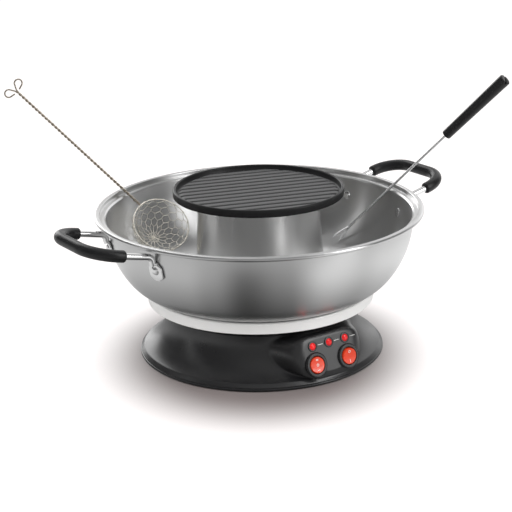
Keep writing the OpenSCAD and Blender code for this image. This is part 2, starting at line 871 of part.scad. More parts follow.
module strainer_basket() {
    color("#c4b994") strainer_frame() difference() {
        sphere(basket_r);
        sphere(basket_r - net_t);
        translate([0, 0, basket_r - rim_wire_r]) cube(2 * basket_r + cut, center = true);
        for (k = [1 : net_rings]) {
            count = round(360 * sin(k * net_step) / net_step);
            for (j = [0 : count - 1]) rotate([0, 0, (j + k / 2) * 360 / count])
                rotate([0, 180 - k * net_step, 0]) translate([0, 0, basket_r / 2])
                cylinder(r = mesh_r, h = basket_r, $fn = 6);
        }
    }
}

module strainer_handle() {
    start = basket_r - net_t / 2 + rim_wire_r;
    length = strainer_reach - start;
    turns = length / twist_pitch;
    color("#b9ad8f") strainer_frame() translate([start, 0, 0]) rotate([0, 90, 0])
        linear_extrude(length, twist = 360 * turns, slices = ceil(8 * turns), $fn = 6)
        for (s = [-1, 1]) translate([s * strand_lap * strand_r, 0]) circle(strand_r);
}

// One curl of a wire end: a bend off the axis, a straight run, a round eye and a tail back.
// The straight lengths are a hair thinner and reach into the bends
module wire_curl() {
    lap = 0.3;
    r = strand_r - hair;
    translate([0, bend_lead_r, 0]) rotate(-90)
        rotate_extrude(angle = bend_lead) translate([bend_lead_r, 0]) circle(strand_r);
    translate([bend_lead_r * sin(bend_lead), bend_lead_r * (1 - cos(bend_lead)), 0]) rotate(bend_lead) {
        translate([-lap, 0, 0]) rotate([0, 90, 0]) cylinder(r = r, h = hook_run + 2 * lap);
        translate([hook_run, eye_r, 0]) {
            rotate(-90) rotate_extrude(angle = eye_sweep) translate([eye_r, 0]) circle(strand_r);
            rotate(eye_sweep) translate([-lap, -eye_r, 0]) rotate([0, 90, 0]) cylinder(r = r, h = hook_tail + lap);
        }
    }
}

module strainer_hooks() {
    color("#b9ad8f") strainer_frame() translate([strainer_reach, 0, 0]) rotate([hook_turn, 0, 0])
        for (s = [0, 180]) rotate([s, 0, 0]) translate([0, strand_r + hair, 0]) wire_curl();
}

module strainer_tie() {
    color("#a8894f") strainer_frame() translate([0, 0, -basket_r - knot_r]) sphere(knot_r);
}

base_shell();
base_plate();
rubber_feet();
cover_screws();
cord_gland();
terminal_block();
pan_thermostat();
seat_ring();
heat_dish();
pan_hot_plate();
column_tube();
element_disc();
grill_element();
left_switch_body();
right_switch_body();
left_rocker();
right_rocker();
lamp_holders();
left_lamp();
middle_lamp();
right_lamp();
pan_bowl();
pan_chimney();
left_handle_rod();
right_handle_rod();
left_grip();
right_grip();
handle_rivets();
grill_plate();
fork_rod();
fork_handle();
strainer_rim();
strainer_basket();
strainer_handle();
strainer_hooks();
strainer_tie();
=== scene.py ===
# Electric fondue set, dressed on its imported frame. Lengths are in metres: a size in millimetres
# is written as a number times mm. The sections follow the set as it is put together.
import math

import bmesh
import bpy
import numpy
from mathutils import Matrix, Vector


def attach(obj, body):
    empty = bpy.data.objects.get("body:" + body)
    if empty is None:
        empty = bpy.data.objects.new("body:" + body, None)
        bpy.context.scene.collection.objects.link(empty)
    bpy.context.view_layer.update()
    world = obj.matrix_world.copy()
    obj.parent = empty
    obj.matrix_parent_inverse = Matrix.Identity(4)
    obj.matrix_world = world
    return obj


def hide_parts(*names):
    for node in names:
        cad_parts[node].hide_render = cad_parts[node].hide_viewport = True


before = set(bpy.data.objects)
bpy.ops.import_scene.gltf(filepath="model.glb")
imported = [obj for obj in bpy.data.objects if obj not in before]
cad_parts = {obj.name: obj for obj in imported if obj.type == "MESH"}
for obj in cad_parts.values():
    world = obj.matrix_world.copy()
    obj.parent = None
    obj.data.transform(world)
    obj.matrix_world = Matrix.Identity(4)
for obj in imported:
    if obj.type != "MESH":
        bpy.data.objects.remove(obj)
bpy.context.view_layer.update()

# Camera: a long lens from the left of the control panel, looking down a little.
# It hangs slightly clockwise, and the picture's centre lies beside the lens axis.
mm = 0.001
scene = bpy.context.scene
view_turn = math.radians(34.5)
view_pitch = math.radians(18.384)
view_roll = math.radians(-1.24)
view_distance = 1300 * mm
view_height = 519.5 * mm
camera_data = bpy.data.cameras.new("camera")
camera_data.sensor_width = 36
camera_data.lens = 104.42
camera_data.shift_x = -0.0077
camera = bpy.data.objects.new("camera", camera_data)
scene.collection.objects.link(camera)
scene.camera = camera
stand = (-view_distance * math.sin(view_turn), -view_distance * math.cos(view_turn), view_height)
camera.matrix_world = (
    Matrix.Translation(stand)
    @ Matrix.Rotation(-view_turn, 4, "Z")
    @ Matrix.Rotation(math.pi / 2 - view_pitch, 4, "X")
    @ Matrix.Rotation(view_roll, 4, "Z")
)
scene.view_settings.view_transform = "Standard"


# Studio: a pale floor without an edge, with a painted shadow round the foot, and soft lights overhead, at
# both sides and in front.
# The room that the steel mirrors is darker on the camera's side, with lighter strips beside it.
def place(tree, kind, sockets=None, **options):
    """Adds a node, sets its options, and fills or links its sockets; a node gives its first output."""
    item = tree.nodes.new(kind)
    for key, value in options.items():
        setattr(item, key, value)
    for key, value in (sockets or {}).items():
        if isinstance(value, bpy.types.Node):
            value = value.outputs[0]
        if isinstance(value, bpy.types.NodeSocket):
            tree.links.new(value, item.inputs[key])
        else:
            item.inputs[key].default_value = value
    return item


def make_group(name, inputs, outputs, tree_kind="ShaderNodeTree"):
    """Starts a node group and returns it with the sockets that enter and leave it."""
    group = bpy.data.node_groups.new(name, tree_kind)
    for way, labels in (("INPUT", inputs), ("OUTPUT", outputs)):
        for label, kind in labels.items():
            group.interface.new_socket(label, in_out=way, socket_type="NodeSocket" + kind)
    return group, group.nodes.new("NodeGroupInput").outputs, group.nodes.new("NodeGroupOutput").inputs


def math_node(tree, operation, *values):
    return place(tree, "ShaderNodeMath", dict(enumerate(values)), operation=operation).outputs[0]


def bearing_tone(name, stops):
    """A group that gives a tone by the angle from the camera, positive to the right of the picture."""
    group, entry, exits = make_group(name, {"Direction": "Vector"}, {"Tone": "Float"})
    axes = place(group, "ShaderNodeSeparateXYZ", {0: entry["Direction"]})
    bearing = math_node(group, "ARCTAN2", axes.outputs["Y"], axes.outputs["X"])
    camera_bearing = math.atan2(stand[1], stand[0]) / (2 * math.pi)
    turn = math_node(group, "MULTIPLY_ADD", bearing, 1 / (2 * math.pi), 0.5 - camera_bearing)
    ramp = place(group, "ShaderNodeValToRGB", {"Fac": math_node(group, "FRACT", turn)})
    steps = ramp.color_ramp.elements
    ramp.color_ramp.interpolation = "EASE"
    for angle, tone in stops[1:-1]:
        steps.new(angle / 360 + 0.5).color = (tone, tone, tone, 1)
    for step, (angle, tone) in ((steps[0], stops[0]), (steps[-1], stops[-1])):
        step.position = angle / 360 + 0.5
        step.color = (tone, tone, tone, 1)
    group.links.new(ramp.outputs["Color"], exits["Tone"])
    return group


# Each stop is an angle in degrees and the tone there
room_tone = bearing_tone("room_tone", (
    (-180, 0.5), (-172, 0.5), (-163, 3.0), (-148, 3.0), (-139, 0.15), (-94, 0.15), (-90, 2.0),
    (-89, 2.0), (-86, 0.1), (-60, 0.14), (-14, 0.3), (24, 0.3), (48, 0.3), (57, 2.2), (70, 2.2),
    (80, 0.2), (122, 0.2), (144, 1.3), (165, 1.0), (180, 0.5)))
# Painted light on the floor as the steel sees it: bright bands at the sides and a dark stretch towards the
# camera.
painted_floor_bands = bearing_tone("painted_floor_bands", (
    (-180, 1.0), (-73, 0.75), (-46, 0.72), (-30, 0.5), (-9, 0.15), (15, 0.36), (41, 1.05), (66, 0.9),
    (88, 1.1), (180, 1.0)))

world = bpy.data.worlds.new("studio")
scene.world = world
world.use_nodes = True
sky = world.node_tree
sky.nodes.clear()
sky_way = place(sky, "ShaderNodeTexCoord").outputs["Generated"]
sky_tone = place(sky, "ShaderNodeGroup", {"Direction": sky_way}, node_tree=room_tone)
sky_height = place(sky, "ShaderNodeSeparateXYZ", {0: sky_way}).outputs["Z"]
overhead = place(sky, "ShaderNodeMapRange", {"Value": sky_height, "From Min": 0.86, "From Max": 0.99})
sky_away = place(sky, "ShaderNodeVectorMath", {
    0: sky_way, 1: (math.sin(view_turn), math.cos(view_turn), 0)}, operation="DOT_PRODUCT")
sky_back = place(sky, "ShaderNodeMapRange", {
    "Value": sky_away.outputs["Value"], "From Min": 0.78, "From Max": 0.94, "To Max": 0.4})
sky_bands = math_node(sky, "ADD", sky_tone, sky_back)
sky_level = place(sky, "ShaderNodeMix", {"Factor": overhead, "A": sky_bands, "B": 0.8})
room_seen = place(sky, "ShaderNodeBackground", {"Color": sky_level, "Strength": 0.9})
sky_soft = place(sky, "ShaderNodeMapRange", {"Value": sky_height, "To Min": 0.3, "To Max": 1.0})
room_light = place(sky, "ShaderNodeBackground", {"Color": sky_soft, "Strength": 1.0})
white_back = place(sky, "ShaderNodeBackground", {"Color": (1, 1, 1, 1), "Strength": 1.0})
sky_path = place(sky, "ShaderNodeLightPath")
room_mix = place(sky, "ShaderNodeMixShader", {
    0: sky_path.outputs["Is Glossy Ray"], 1: room_light, 2: room_seen})
sky_mix = place(sky, "ShaderNodeMixShader", {
    0: sky_path.outputs["Is Camera Ray"], 1: room_mix, 2: white_back})
place(sky, "ShaderNodeOutputWorld", {"Surface": sky_mix})

floor_material = bpy.data.materials.new("pale_floor")
floor_material.use_nodes = True
floor_tree = floor_material.node_tree
floor_tree.nodes.clear()
floor_place = place(floor_tree, "ShaderNodeTexCoord").outputs["Object"]
floor_tone = place(floor_tree, "ShaderNodeGroup", {"Direction": floor_place}, node_tree=painted_floor_bands)
floor_matte = place(floor_tree, "ShaderNodeBsdfDiffuse", {"Color": (0.76, 0.745, 0.725, 1)})
# Painted shadow: near the foot the floor shows only this dim brownish diffuse; glow rises to white further
# out, in an oval pushed towards the camera.
painted_shadow_floor = place(floor_tree, "ShaderNodeBsdfDiffuse", {"Color": (0.26, 0.226, 0.221, 1)})
shade_forward = 20 * mm
shade_stretch = 1.2
floor_side = place(floor_tree, "ShaderNodeVectorMath", {
    0: floor_place, 1: (math.cos(view_turn), -math.sin(view_turn), 0)}, operation="DOT_PRODUCT")
floor_front = place(floor_tree, "ShaderNodeVectorMath", {
    0: floor_place, 1: (-math.sin(view_turn), -math.cos(view_turn), 0)}, operation="DOT_PRODUCT")
floor_near = math_node(
    floor_tree, "DIVIDE",
    math_node(floor_tree, "SUBTRACT", floor_front.outputs["Value"], shade_forward), shade_stretch)
painted_shadow_oval = math_node(floor_tree, "SQRT", math_node(
    floor_tree, "ADD", math_node(floor_tree, "POWER", floor_side.outputs["Value"], 2.0),
    math_node(floor_tree, "POWER", floor_near, 2.0)))
painted_shadow_fade = place(floor_tree, "ShaderNodeMapRange", {
    "Value": painted_shadow_oval, "From Min": 0.085, "From Max": 0.17, "To Min": 0.0, "To Max": 0.85},
    interpolation_type="SMOOTHSTEP")
floor_lift = place(floor_tree, "ShaderNodeEmission", {"Strength": painted_shadow_fade})
floor_seen = place(floor_tree, "ShaderNodeAddShader", {
    0: painted_shadow_floor, 1: floor_lift})
floor_length = place(floor_tree, "ShaderNodeVectorMath", {0: floor_place}, operation="LENGTH")
floor_span = floor_length.outputs["Value"]
# Painted shade: the floor as the steel sees it is darker near the foot.
mirrored_floor_shade = place(floor_tree, "ShaderNodeMapRange", {
    "Value": floor_span, "From Min": 0.11, "From Max": 0.26, "To Min": 0.25, "To Max": 1.0})
floor_even = place(floor_tree, "ShaderNodeMapRange", {
    "Value": floor_span, "From Min": 0.3, "From Max": 0.8})
floor_level = place(floor_tree, "ShaderNodeMix", {
    "Factor": floor_even, "A": floor_tone, "B": 0.75})
floor_glow = place(floor_tree, "ShaderNodeEmission", {
    "Color": floor_level, "Strength": mirrored_floor_shade})
floor_path = place(floor_tree, "ShaderNodeLightPath")
floor_plain = place(floor_tree, "ShaderNodeMixShader", {
    0: floor_path.outputs["Is Glossy Ray"], 1: floor_matte, 2: floor_glow})
floor_mix = place(floor_tree, "ShaderNodeMixShader", {
    0: floor_path.outputs["Is Camera Ray"], 1: floor_plain, 2: floor_seen})
place(floor_tree, "ShaderNodeOutputMaterial", {"Surface": floor_mix})
floor_half = 8.0
floor_mesh = bpy.data.meshes.new("floor")
floor_corners = ((-1, -1), (1, -1), (1, 1), (-1, 1))
floor_mesh.from_pydata(
    [(x * floor_half, y * floor_half, 0) for x, y in floor_corners], [], [(0, 1, 2, 3)])
floor_mesh.materials.append(floor_material)
floor = bpy.data.objects.new("floor", floor_mesh)
scene.collection.objects.link(floor)

light_aim_z = 80 * mm


def softbox(name, spot, width, height, power, mirrored=True):
    """A soft rectangular lamp, aimed at the middle of the set and mirrored by the steel or not."""
    light = bpy.data.lights.new(name, "AREA")
    light.shape = "RECTANGLE"
    light.size = width
    light.size_y = height
    light.energy = power
    lamp = bpy.data.objects.new(name, light)
    scene.collection.objects.link(lamp)
    lamp.visible_glossy = mirrored
    aim = Vector((0, 0, light_aim_z)) - Vector(spot)
    lamp.matrix_world = Matrix.Translation(spot) @ aim.to_track_quat("-Z", "Y").to_matrix().to_4x4()


softbox("overhead_light", (0.1, 0.2, 1.7), width=1.4, height=1.4, power=14, mirrored=False)
softbox("right_light", (0.66, -1.12, 0.85), width=0.3, height=1.0, power=3.2)
softbox("left_light", (-0.90, 1.00, 0.85), width=0.4, height=1.1, power=4, mirrored=False)
softbox("front_light", (-0.75, -1.1, 1.5), width=1.0, height=0.8, power=9.5, mirrored=False)
softbox("front_right_light", (0.40, -1.25, 1.5), width=0.8, height=0.8, power=5, mirrored=False)


# Base moulding: a flared black foot with a lip, grown into a control pod with a leaning panel.
# It is one injection moulding in satin ABS, with holes for the switches, lamps, column and cord.
base_r = 113.4 * mm
skirt_z = 1.2 * mm
lip_edge_z = 2.8 * mm
lip_r = 109.4 * mm
lip_z = 7 * mm
waist_r = 88 * mm
waist_z = 40 * mm
flare_r = 36.5 * mm
collar_z = 42 * mm
deck_r = 98 * mm
deck_z = 50.5 * mm
deck_edge_z = 49 * mm
deck_under_z = 47.5 * mm
column_hole_r = 46.05 * mm
shell_t = 2.6 * mm
panel_y = 103.5 * mm
panel_z = 34.8 * mm
panel_tilt = math.radians(18.5)
pod_top_z = 43 * mm
pod_side = Vector((0.936, -0.352))
pod_side_reach = 72.0 * mm
pod_setback = 2.0 * mm
pod_back_y = 66 * mm
corner_soft = 12 * mm
brow_soft = 3.5 * mm
shoulder_soft = 22 * mm
pod_low_z = 6.4 * mm
join_soft = 2 * mm
groove_z = 3.0 * mm
groove_depth = 0.8 * mm
groove_half = 0.35 * mm
switch_x = 17.6 * mm
switch_y = -16.6 * mm
switch_body_r = 9.95 * mm
lamp_pitch = 17.7 * mm
lamp_sleeve_r = 4.35 * mm
gland_y = 105 * mm
gland_z = 18.5 * mm
gland_boss_r = 9 * mm
gland_sleeve_r = 5.55 * mm
panel = Matrix.Translation((0, -panel_y, panel_z)) @ Matrix.Rotation(math.pi / 2 - panel_tilt, 4, "X")
gland = Matrix.Translation((0, gland_y, gland_z)) @ Matrix.Rotation(-math.pi / 2, 4, "X")


def flare_radius(z):
    """Outer radius of the foot without its pod, by height."""
    lip = numpy.interp(z, (lip_edge_z, lip_z), (base_r, lip_r))
    lip = lip - groove_depth * numpy.exp(-((z - groove_z) / groove_half) ** 2)
    flare = waist_r + flare_r - numpy.sqrt(numpy.maximum(flare_r ** 2 - (waist_z - z) ** 2, 0))
    collar = numpy.interp(z, (collar_z, deck_edge_z), (waist_r, deck_r))
    return numpy.where(z < lip_z, lip, numpy.where(z < waist_z, flare, collar))


def smooth_min(a, b, width):
    share = numpy.clip(0.5 + 0.5 * (b - a) / width, 0, 1)
    return b * (1 - share) + a * share - width * share * (1 - share)


def base_field(radius, angle, z):
    """Below zero inside the moulding: the flare and the pod, melted together."""
    x = numpy.abs(radius * numpy.cos(angle))
    y = radius * numpy.sin(angle)
    front = (-y - panel_y - (panel_z - z) * math.tan(panel_tilt)) * math.cos(panel_tilt)
    side = x * pod_side[0] + y * pod_side[1] - pod_side_reach
    walls = -smooth_min(-front, -side, corner_soft)
    blister = -smooth_min(-side, pod_top_z - z, shoulder_soft)
    blister = -smooth_min(-blister, z - pod_low_z, shoulder_soft)
    pod = -smooth_min(-walls, -blister, brow_soft)
    pod = numpy.maximum(pod, numpy.maximum(radius - base_r + pod_setback, y + pod_back_y))
    return smooth_min(radius - flare_radius(z), pod, join_soft)


def skin(shape, rings, joined=False, capped=True):
    """Covers closed rings of points with faces, joining the last ring to the first or capping the ends."""
    uv = shape.loops.layers.uv.get("surface") or shape.loops.layers.uv.new("surface")
    count = len(rings[0])
    rows = [[shape.verts.new(point) for point in ring] for ring in rings]
    along = [0.0]
    for before, after in zip(rows, rows[1:] + rows[:1]):
        along.append(along[-1] + (after[0].co - before[0].co).length)
    for k in range(len(rows) if joined else len(rows) - 1):
        low, high = rows[k], rows[(k + 1) % len(rows)]
        for i in range(count):
            j = (i + 1) % count
            face = shape.faces.new((low[i], low[j], high[j], high[i]))
            for loop, u, v in zip(face.loops, (i, i + 1, i + 1, i), (k, k, k + 1, k + 1)):
                loop[uv].uv = (u / count, along[v])
    if capped and not joined:
        shape.faces.new(rows[0][::-1])
        shape.faces.new(rows[-1])


weld_gap = 0.0005 * mm
sliver = 0.0002 * mm


def piece_from(name, shape, material, crease=38):
    """Turns a bmesh into a finished object with smooth faces and sharp creases."""
    bmesh.ops.remove_doubles(shape, verts=shape.verts, dist=weld_gap)
    bmesh.ops.dissolve_degenerate(shape, edges=shape.edges, dist=sliver)
    bmesh.ops.recalc_face_normals(shape, faces=shape.faces)
    mesh = bpy.data.meshes.new(name)
    shape.to_mesh(mesh)
    shape.free()
    mesh.shade_smooth()
    mesh.set_sharp_from_angle(angle=math.radians(crease))
    mesh.materials.append(material)
    piece = bpy.data.objects.new(name, mesh)
    scene.collection.objects.link(piece)
    return piece


def turned(name, outline, steps, material, joined=False, at=Matrix()):
    """A piece revolved from an outline of (radius, height) points about the Z axis of its placement."""
    angles = [2 * math.pi * i / steps for i in range(steps)]
    shape = bmesh.new()
    rings = [[(r * math.cos(a), r * math.sin(a), z) for a in angles] for r, z in outline]
    skin(shape, rings, joined, capped=False)
    shape.transform(at)
    return piece_from(name, shape, material)


def dress(piece, body, slot, *nodes):
    """The piece rides on its body and stands for its CAD nodes, if any; slot is not used."""
    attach(piece, body)
    if nodes:
        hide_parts(*nodes)


def make_material(name, describe):
    """A material whose Principled sockets are the ones that describe puts in its tree."""
    material = bpy.data.materials.new(name)
    material.use_nodes = True
    tree = material.node_tree
    tree.nodes.clear()
    shader = place(tree, "ShaderNodeBsdfPrincipled", describe(tree))
    place(tree, "ShaderNodeOutputMaterial", {"Surface": shader})
    return material


# Moulded grain: fine spark-eroded texture with cloudy changes of tone and gloss
grain, grain_in, grain_out = make_group(
    "moulded_grain",
    {"Color": "Color", "Roughness": "Float", "Spread": "Float", "Grain": "Float"},
    {"Color": "Color", "Roughness": "Float", "Height": "Float"})
grain_place = place(grain, "ShaderNodeTexCoord").outputs["Object"]
grain_fine = place(grain, "ShaderNodeTexNoise", {
    "Vector": grain_place, "Scale": grain_in["Grain"], "Detail": 3.0, "Roughness": 0.6}).outputs[0]
grain_cloud = place(grain, "ShaderNodeTexNoise", {
    "Vector": grain_place, "Scale": 42.0, "Detail": 5.0, "Roughness": 0.65}).outputs[0]


def spread_of(tree, noise, spread):
    """A noise moved to swing about zero, times the spread."""
    return math_node(tree, "MULTIPLY", math_node(tree, "SUBTRACT", noise, 0.5), spread)


cloud_shift = spread_of(grain, grain_cloud, grain_in["Spread"])
fine_shift = spread_of(grain, grain_fine, grain_in["Spread"])
grain_shade = place(grain, "ShaderNodeHueSaturation", {
    "Value": math_node(grain, "ADD", 1.0, math_node(grain, "ADD", cloud_shift, fine_shift)),
    "Color": grain_in["Color"]})
grain.links.new(grain_shade.outputs[0], grain_out["Color"])
grain_rough = math_node(grain, "MULTIPLY_ADD", cloud_shift, 0.5, grain_in["Roughness"])
grain.links.new(grain_rough, grain_out["Roughness"])
grain.links.new(grain_fine, grain_out["Height"])


def moulded(name, color, roughness, spread, grains, bump, **fixed):
    """Moulded plastic, rubber or coating: grain in tone, gloss and relief."""
    def describe(tree):
        look = place(tree, "ShaderNodeGroup", {
            "Color": (*color, 1), "Roughness": roughness, "Spread": spread, "Grain": grains},
            node_tree=grain)
        relief = place(tree, "ShaderNodeBump", {
            "Height": look.outputs["Height"], "Strength": bump, "Distance": 0.05 * mm})
        return {"Base Color": look.outputs["Color"], "Roughness": look.outputs["Roughness"],
                "Normal": relief, **fixed}
    return make_material(name, describe)


black_plastic = moulded(
    "black_plastic", (0.012, 0.012, 0.013), roughness=0.30, spread=0.35, grains=2600.0, bump=0.2,
    **{"Specular IOR Level": 0.8})

base_turns = 540
base_angles = numpy.linspace(0, 2 * math.pi, base_turns, endpoint=False)[None, :]
base_edge = 0.3 * mm
# Heights of the rings: bands of (lowest, highest, count), closer together where the form turns
level_bands = (
    (skirt_z, lip_edge_z - base_edge, 5), (lip_edge_z - 0.2 * mm, lip_edge_z + mm, 10),
    (lip_edge_z + 1.3 * mm, lip_z - base_edge, 5), (lip_z, lip_z + 7 * mm, 22),
    (lip_z + 7.8 * mm, waist_z - 2 * mm, 26), (waist_z - 1.5 * mm, pod_top_z - 0.4 * mm, 14),
    (pod_top_z - base_edge, pod_top_z + 1.8 * mm, 18), (pod_top_z + 2.2 * mm, deck_edge_z, 6),
    (deck_z - base_edge, deck_z - base_edge, 1))
base_levels = numpy.concatenate([numpy.linspace(*band) for band in level_bands])[:, None]
least_r = 60 * mm
base_halvings = 36
inner = numpy.full((base_levels.size, base_turns), least_r)
outer = numpy.full((base_levels.size, base_turns), base_r + 2 * mm)
for _ in range(base_halvings):
    middle = 0.5 * (inner + outer)
    within = base_field(middle, base_angles, base_levels) < 0
    inner = numpy.where(within, middle, inner)
    outer = numpy.where(within, outer, middle)
base_rings = [(row, level) for row, level in zip(outer, base_levels[:, 0])]
even = numpy.ones(base_turns)
base_rings += [(even * radius, level) for radius, level in (
    (deck_r - base_edge, deck_z), (column_hole_r, deck_z), (column_hole_r, deck_under_z),
    (waist_r - shell_t, deck_under_z))]
inside_step = 6
base_rings += [(row - shell_t, level) for row, level in base_rings[len(base_levels)::-inside_step]
               if level < collar_z]
base_rings += [(base_rings[0][0] - shell_t, skirt_z)]
base_shape = bmesh.new()
base_cos, base_sin = numpy.cos(base_angles[0]), numpy.sin(base_angles[0])
skin(base_shape, [list(zip(row * base_cos, row * base_sin, even * level)) for row, level in base_rings],
     joined=True)
base_shell = piece_from("base_moulding", base_shape, black_plastic, crease=50)

# Boss round the cord entry, at the back of the foot
boss_depth = 14 * mm
boss_outline = [
    (gland_sleeve_r, 0), (gland_boss_r - 0.8 * mm, 0), (gland_boss_r - 0.2 * mm, -0.3 * mm),
    (gland_boss_r, -0.9 * mm), (gland_boss_r + 0.6 * mm, -boss_depth), (gland_sleeve_r, -boss_depth)]
cord_boss = turned("cord_boss", boss_outline, steps=48, material=black_plastic, joined=True, at=gland)


def made_by_modifiers(piece):
    """The plain mesh that the piece's modifiers make."""
    return bpy.data.meshes.new_from_object(piece.evaluated_get(bpy.context.evaluated_depsgraph_get()))


def carved(piece, tool_shape):
    """Takes the form of a tool out of the piece."""
    tool_mesh = bpy.data.meshes.new("tool")
    tool_shape.to_mesh(tool_mesh)
    tool_shape.free()
    tool = bpy.data.objects.new("tool", tool_mesh)
    scene.collection.objects.link(tool)
    cutter = piece.modifiers.new("cut", "BOOLEAN")
    cutter.operation = "DIFFERENCE"
    cutter.solver = "EXACT"
    cutter.object = tool
    finished = made_by_modifiers(piece)
    piece.modifiers.remove(cutter)
    piece.data = finished
    bpy.data.objects.remove(tool)


def drilled(piece, holes):
    """Cuts round holes, each a (placement, radius) pair, through a wall of the piece."""
    drill_shape = bmesh.new()
    depth = 8 * mm
    sides = 64
    for placement, radius in holes:
        bmesh.ops.create_cone(drill_shape, cap_ends=True, segments=sides, radius1=radius, radius2=radius,
                              depth=2 * depth, matrix=placement)
    carved(piece, drill_shape)


def on_panel(x, y):
    return panel @ Matrix.Translation((x, y, 0))


panel_holes = [(on_panel(side * switch_x, switch_y), switch_body_r) for side in (-1, 1)]
panel_holes += [(on_panel(i * lamp_pitch, 0), lamp_sleeve_r) for i in (-1, 0, 1)]
drilled(base_shell, panel_holes + [(gland, gland_sleeve_r)])
dress(base_shell, "base", "black_plastic", "base_shell")
dress(cord_boss, "base", "black_plastic")


# Underside: a vented plate screwed to four bosses, with four pressed-in rubber feet, and the cord entry.
# The plate is moulded like the base; the entry is a push-in collar. None of it shows from above.
def coat(material, *nodes):
    """Gives CAD nodes that stay as they are a material."""
    for name in nodes:
        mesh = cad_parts[name].data
        mesh.materials.clear()
        mesh.materials.append(material)


rubber = moulded("rubber", (0.022, 0.022, 0.022), roughness=0.75, spread=0.4, grains=1800.0, bump=0.4)
coat(black_plastic, "base_plate", "cord_gland")
coat(rubber, "rubber_feet")

# Brushed lines: fine scratches that follow the turning of a spun sheet, with faint smudges
brushed, brushed_in, brushed_out = make_group(
    "brushed_lines",
    {"Vector": "Vector", "Color": "Color", "Roughness": "Float", "Spread": "Float"},
    {"Color": "Color", "Roughness": "Float", "Height": "Float"})
line_noise = place(brushed, "ShaderNodeTexNoise", {
    "Vector": brushed_in["Vector"], "Scale": 1.0, "Detail": 4.0, "Roughness": 0.7}).outputs[0]
smudge_place = place(brushed, "ShaderNodeTexCoord").outputs["Object"]
smudge_noise = place(brushed, "ShaderNodeTexNoise", {
    "Vector": smudge_place, "Scale": 24.0, "Detail": 4.0}).outputs[0]
line_shift = spread_of(brushed, line_noise, brushed_in["Spread"])
smudge_shift = spread_of(brushed, smudge_noise, brushed_in["Spread"])
brushed_shade = place(brushed, "ShaderNodeHueSaturation", {
    "Value": math_node(brushed, "MULTIPLY_ADD", line_shift, 0.6, 1.0), "Color": brushed_in["Color"]})
brushed.links.new(brushed_shade.outputs[0], brushed_out["Color"])
brushed_rough = math_node(brushed, "ADD", math_node(brushed, "MULTIPLY", line_shift, 0.5), smudge_shift)
brushed_rough = math_node(brushed, "ADD", brushed_rough, brushed_in["Roughness"])
brushed.links.new(brushed_rough, brushed_out["Roughness"])
brushed.links.new(line_noise, brushed_out["Height"])


def brushed_metal(name, color, roughness, spread, lines, bump, follows="turning", **fixed):
    """Metal with scratches round the axis: by its UV map where it was turned here, else by height."""
    def describe(tree):
        here = place(tree, "ShaderNodeTexCoord").outputs["Object"]
        spot = place(tree, "ShaderNodeSeparateXYZ", {0: here})
        across = spot.outputs["Z"]
        along_scale = 9.0
        sockets = {"Metallic": 1.0}
        if follows == "turning":
            uv_spot = place(tree, "ShaderNodeUVMap", uv_map="surface").outputs[0]
            across = place(tree, "ShaderNodeSeparateXYZ", {0: uv_spot}).outputs["Y"]
            tangent = place(tree, "ShaderNodeTangent", direction_type="UV_MAP", uv_map="surface")
            sockets["Tangent"] = tangent.outputs[0]
        stretch = place(tree, "ShaderNodeCombineXYZ", {
            0: math_node(tree, "MULTIPLY", spot.outputs["X"], along_scale),
            1: math_node(tree, "MULTIPLY", spot.outputs["Y"], along_scale),
            2: math_node(tree, "MULTIPLY", across, lines)})
        look = place(tree, "ShaderNodeGroup", {
            "Vector": stretch, "Color": (*color, 1), "Roughness": roughness, "Spread": spread},
            node_tree=brushed)
        relief = place(tree, "ShaderNodeBump", {
            "Height": look.outputs["Height"], "Strength": bump, "Distance": 0.02 * mm})
        sockets.update({"Base Color": look.outputs["Color"], "Roughness": look.outputs["Roughness"],
                        "Normal": relief})
        return {**sockets, **fixed}
    return make_material(name, describe)


zinc_screw = brushed_metal(
    "zinc_screw", (0.70, 0.70, 0.68), roughness=0.30, spread=0.2, lines=900.0, bump=0.1, follows="height")
coat(zinc_screw, "cover_screws")

# Heating: a ring hot plate in a steel dish for the pan, and a tubular element on a column for the grill.
# Cast aluminium, plain steel, ceramic and an oxidised sheath; a terminal block and a thermostat feed them.
plain_steel = brushed_metal(
    "plain_steel", (0.55, 0.55, 0.54), roughness=0.38, spread=0.25, lines=1500.0, bump=0.1,
    follows="height")
cast_aluminium = moulded(
    "cast_aluminium", (0.50, 0.50, 0.50), roughness=0.48, spread=0.3, grains=1200.0, bump=0.5,
    Metallic=1.0)
oxidised_sheath = moulded(
    "oxidised_sheath", (0.085, 0.080, 0.078), roughness=0.55, spread=0.6, grains=1600.0, bump=0.4,
    Metallic=0.6)
ceramic = moulded("ceramic", (0.74, 0.71, 0.64), roughness=0.60, spread=0.15, grains=900.0, bump=0.2)
coat(plain_steel, "heat_dish", "column_tube")
coat(cast_aluminium, "pan_hot_plate")
coat(oxidised_sheath, "grill_element")
coat(ceramic, "terminal_block", "pan_thermostat", "element_disc")


# Seat ring: a band of stainless sheet with a rolled upper edge, in which the pan sits.
# It is spun, finely brushed, and screwed to the deck of the base through its inner flange; its pale, mostly
# non-metallic colour is a painted reflection of the white surroundings.
def arc(centre, radius, start, end, steps):
    """Points of an arc in the (radius, height) plane, between two angles in degrees."""
    angles = [math.radians(start + (end - start) * i / steps) for i in range(steps + 1)]
    return [(centre[0] + radius * math.cos(a), centre[1] + radius * math.sin(a)) for a in angles]


